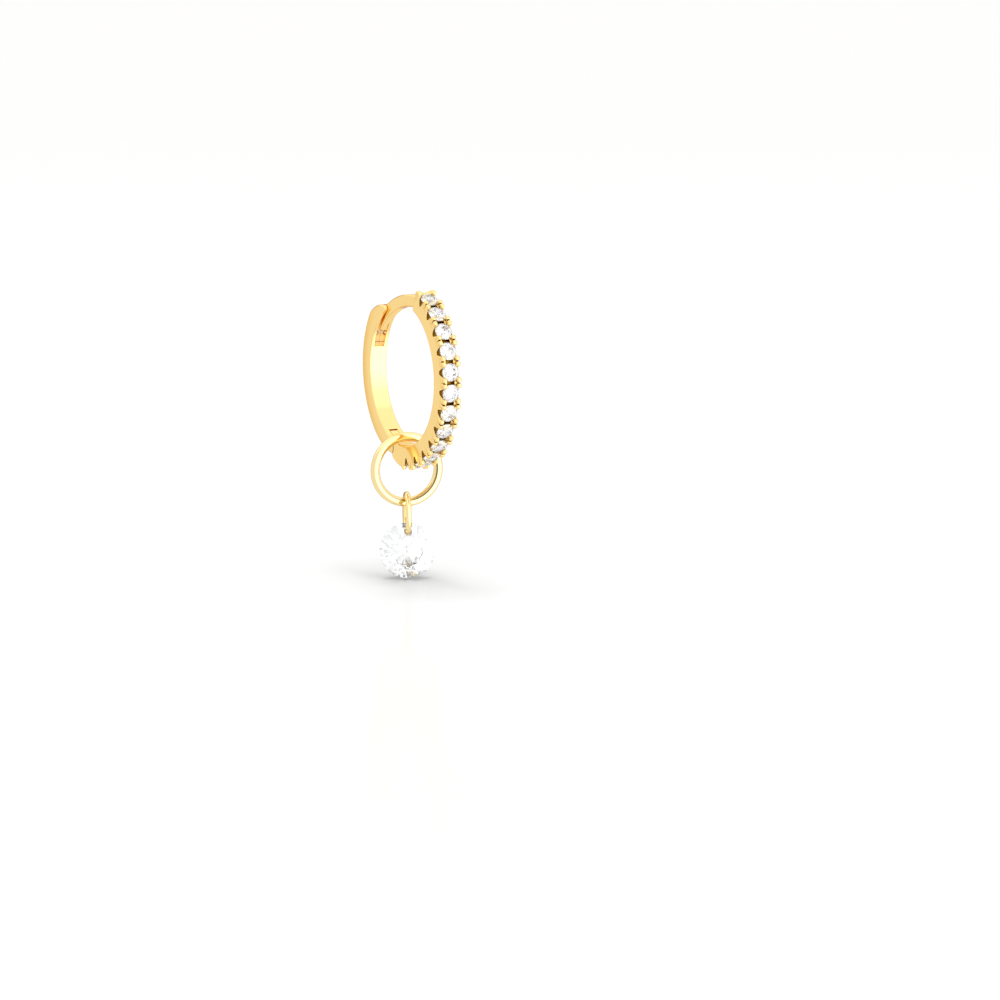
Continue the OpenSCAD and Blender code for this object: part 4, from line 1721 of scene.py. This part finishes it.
    def surroundings(self, kit: NodeKit, group: ShaderGroup, base: float,
                     cards: tuple[Card, ...]) -> NodeSocket:
        """What one kind of ray sees: the dome, with every card laid over it in turn.

        Args:
            kit: The world's nodes.
            group: The card's mask.
            base: Brightness of the bare dome.
            cards: The cards, the nearest last.

        Returns:
            The colour of the light from each direction.
        """
        direction = kit.add("ShaderNodeTexCoord").outputs["Generated"]
        colour = (base, base, base, 1.0)
        for card in cards:
            toward = card.toward()
            side = toward.cross(Vector((0, 0, 1))).normalized()
            mask = group.place(kit, Direction=direction, Toward=toward, Sideways=side,
                               Upwards=side.cross(toward), Width=card.width, Height=card.height,
                               Soft=card.soft, Corner=self.card_corner)
            colour = kit.mix(mask.outputs["Mask"], colour, card.colour())
        return colour

    def dome(self) -> None:
        """The studio's soft light, pure white to the camera itself."""
        world = bpy.data.worlds.new("studio_dome")
        bpy.context.scene.world = world
        world.use_nodes = True
        kit = NodeKit(world.node_tree)
        light = world.node_tree.nodes["Background"]
        group = self.card_group()
        metal = self.surroundings(kit, group, self.metal_base, self.metal_cards)
        glass = self.surroundings(kit, group, self.glass_base, self.glass_cards)
        path = kit.add("ShaderNodeLightPath").outputs
        # A stone shades the floor like any solid, so light that passed one counts for the eye only.
        on_floor = kit.math("GREATER_THAN", path["Diffuse Depth"], 0.5)
        through = kit.mix(on_floor, glass, BLACK)
        seen = kit.mix(path["Is Transmission Ray"], metal, through)
        kit.link(kit.mix(path["Is Camera Ray"], seen, WHITE), light.inputs["Color"])

    def floor(self) -> None:
        """A glossy white floor just under the drop stone."""
        corners = np.array([(-1, -1, 0), (1, -1, 0), (1, 1, 0), (-1, 1, 0)], float) * self.floor_reach
        corners[:, 2] = self.floor_z * MM
        floor = new_object("studio_floor", mesh_of("studio_floor", corners, np.array([[0, 1, 2, 3]])))
        material, kit, shader = new_material("white_floor")
        shader.inputs["Base Color"].default_value = (self.floor_white,) * 3 + (1.0,)
        shader.inputs["Roughness"].default_value = self.floor_rough
        shader.inputs["Specular IOR Level"].default_value = self.floor_gloss
        floor.data.materials.append(material)
        floor.visible_glossy = False

    def lamp(self) -> None:
        """Soft light from straight above, only for the floor, which gives the shadow there."""
        data = bpy.data.lights.new("overhead_light", "SUN")
        data.angle = math.radians(self.lamp_angle)
        data.energy = self.lamp_power
        lamp = bpy.data.objects.new("overhead_light", data)
        bpy.context.scene.collection.objects.link(lamp)
        lamp.visible_glossy = False
        lamp.visible_transmission = False

    def camera(self) -> None:
        """The camera, placed by where the photograph shows the hoop's centre."""
        az, el = math.radians(self.azimuth), math.radians(self.elevation)
        right = Vector((math.cos(az), math.sin(az), 0))
        back = Vector((math.sin(az) * math.cos(el), -math.cos(az) * math.cos(el), math.sin(el)))
        up = back.cross(right)
        centre = Vector((0, 0, self.hoop.centre_z)) * MM
        eye = centre + back * self.distance * MM
        off_x, off_y = ((self.middle_pixel - pixel) / self.pixels_per_mm for pixel in self.hoop_pixel)
        target = centre + (right * off_x - up * off_y) * MM
        data = bpy.data.cameras.new("photo_camera")
        data.lens = self.lens
        data.clip_start = 0.001
        camera = bpy.data.objects.new("photo_camera", data)
        bpy.context.scene.collection.objects.link(camera)
        camera.location = eye
        camera.rotation_euler = (target - eye).to_track_quat("-Z", "Y").to_euler()
        bpy.context.scene.camera = camera


def main() -> None:
    """Builds every sub-assembly in order."""
    logging.basicConfig(level=logging.INFO, format="%(name)s: %(message)s")
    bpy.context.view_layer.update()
    groups = Groups()
    casting_gold = GoldPlate("casting_gold").material(groups)
    # The wire's deep colour paints the shade of its drawn line and the dark of its joint.
    wire_gold = GoldPlate("wire_gold", bright=(0.945, 0.755, 0.385, 1.0), deep=(0.07, 0.045, 0.02, 1.0),
                          open_rough=0.05, wave_height=2e-7).material(groups)
    row_clear = CutStone("row_stone_clear", fire=0.09).material(groups)
    drop_clear = CutStone("drop_stone_clear", fire=0.03, rim_shade=0.8).material(groups)
    frosted = CutStone("drop_stone_frosted", fire=0.0, rough=0.45, silvered=1.0).material(groups)
    Studio().build()
    HoopAssembly().build(casting_gold)
    StoneSetting().build(row_clear)
    Charm().build(wire_gold, drop_clear, frosted)


if __name__ == "__main__":
    main()
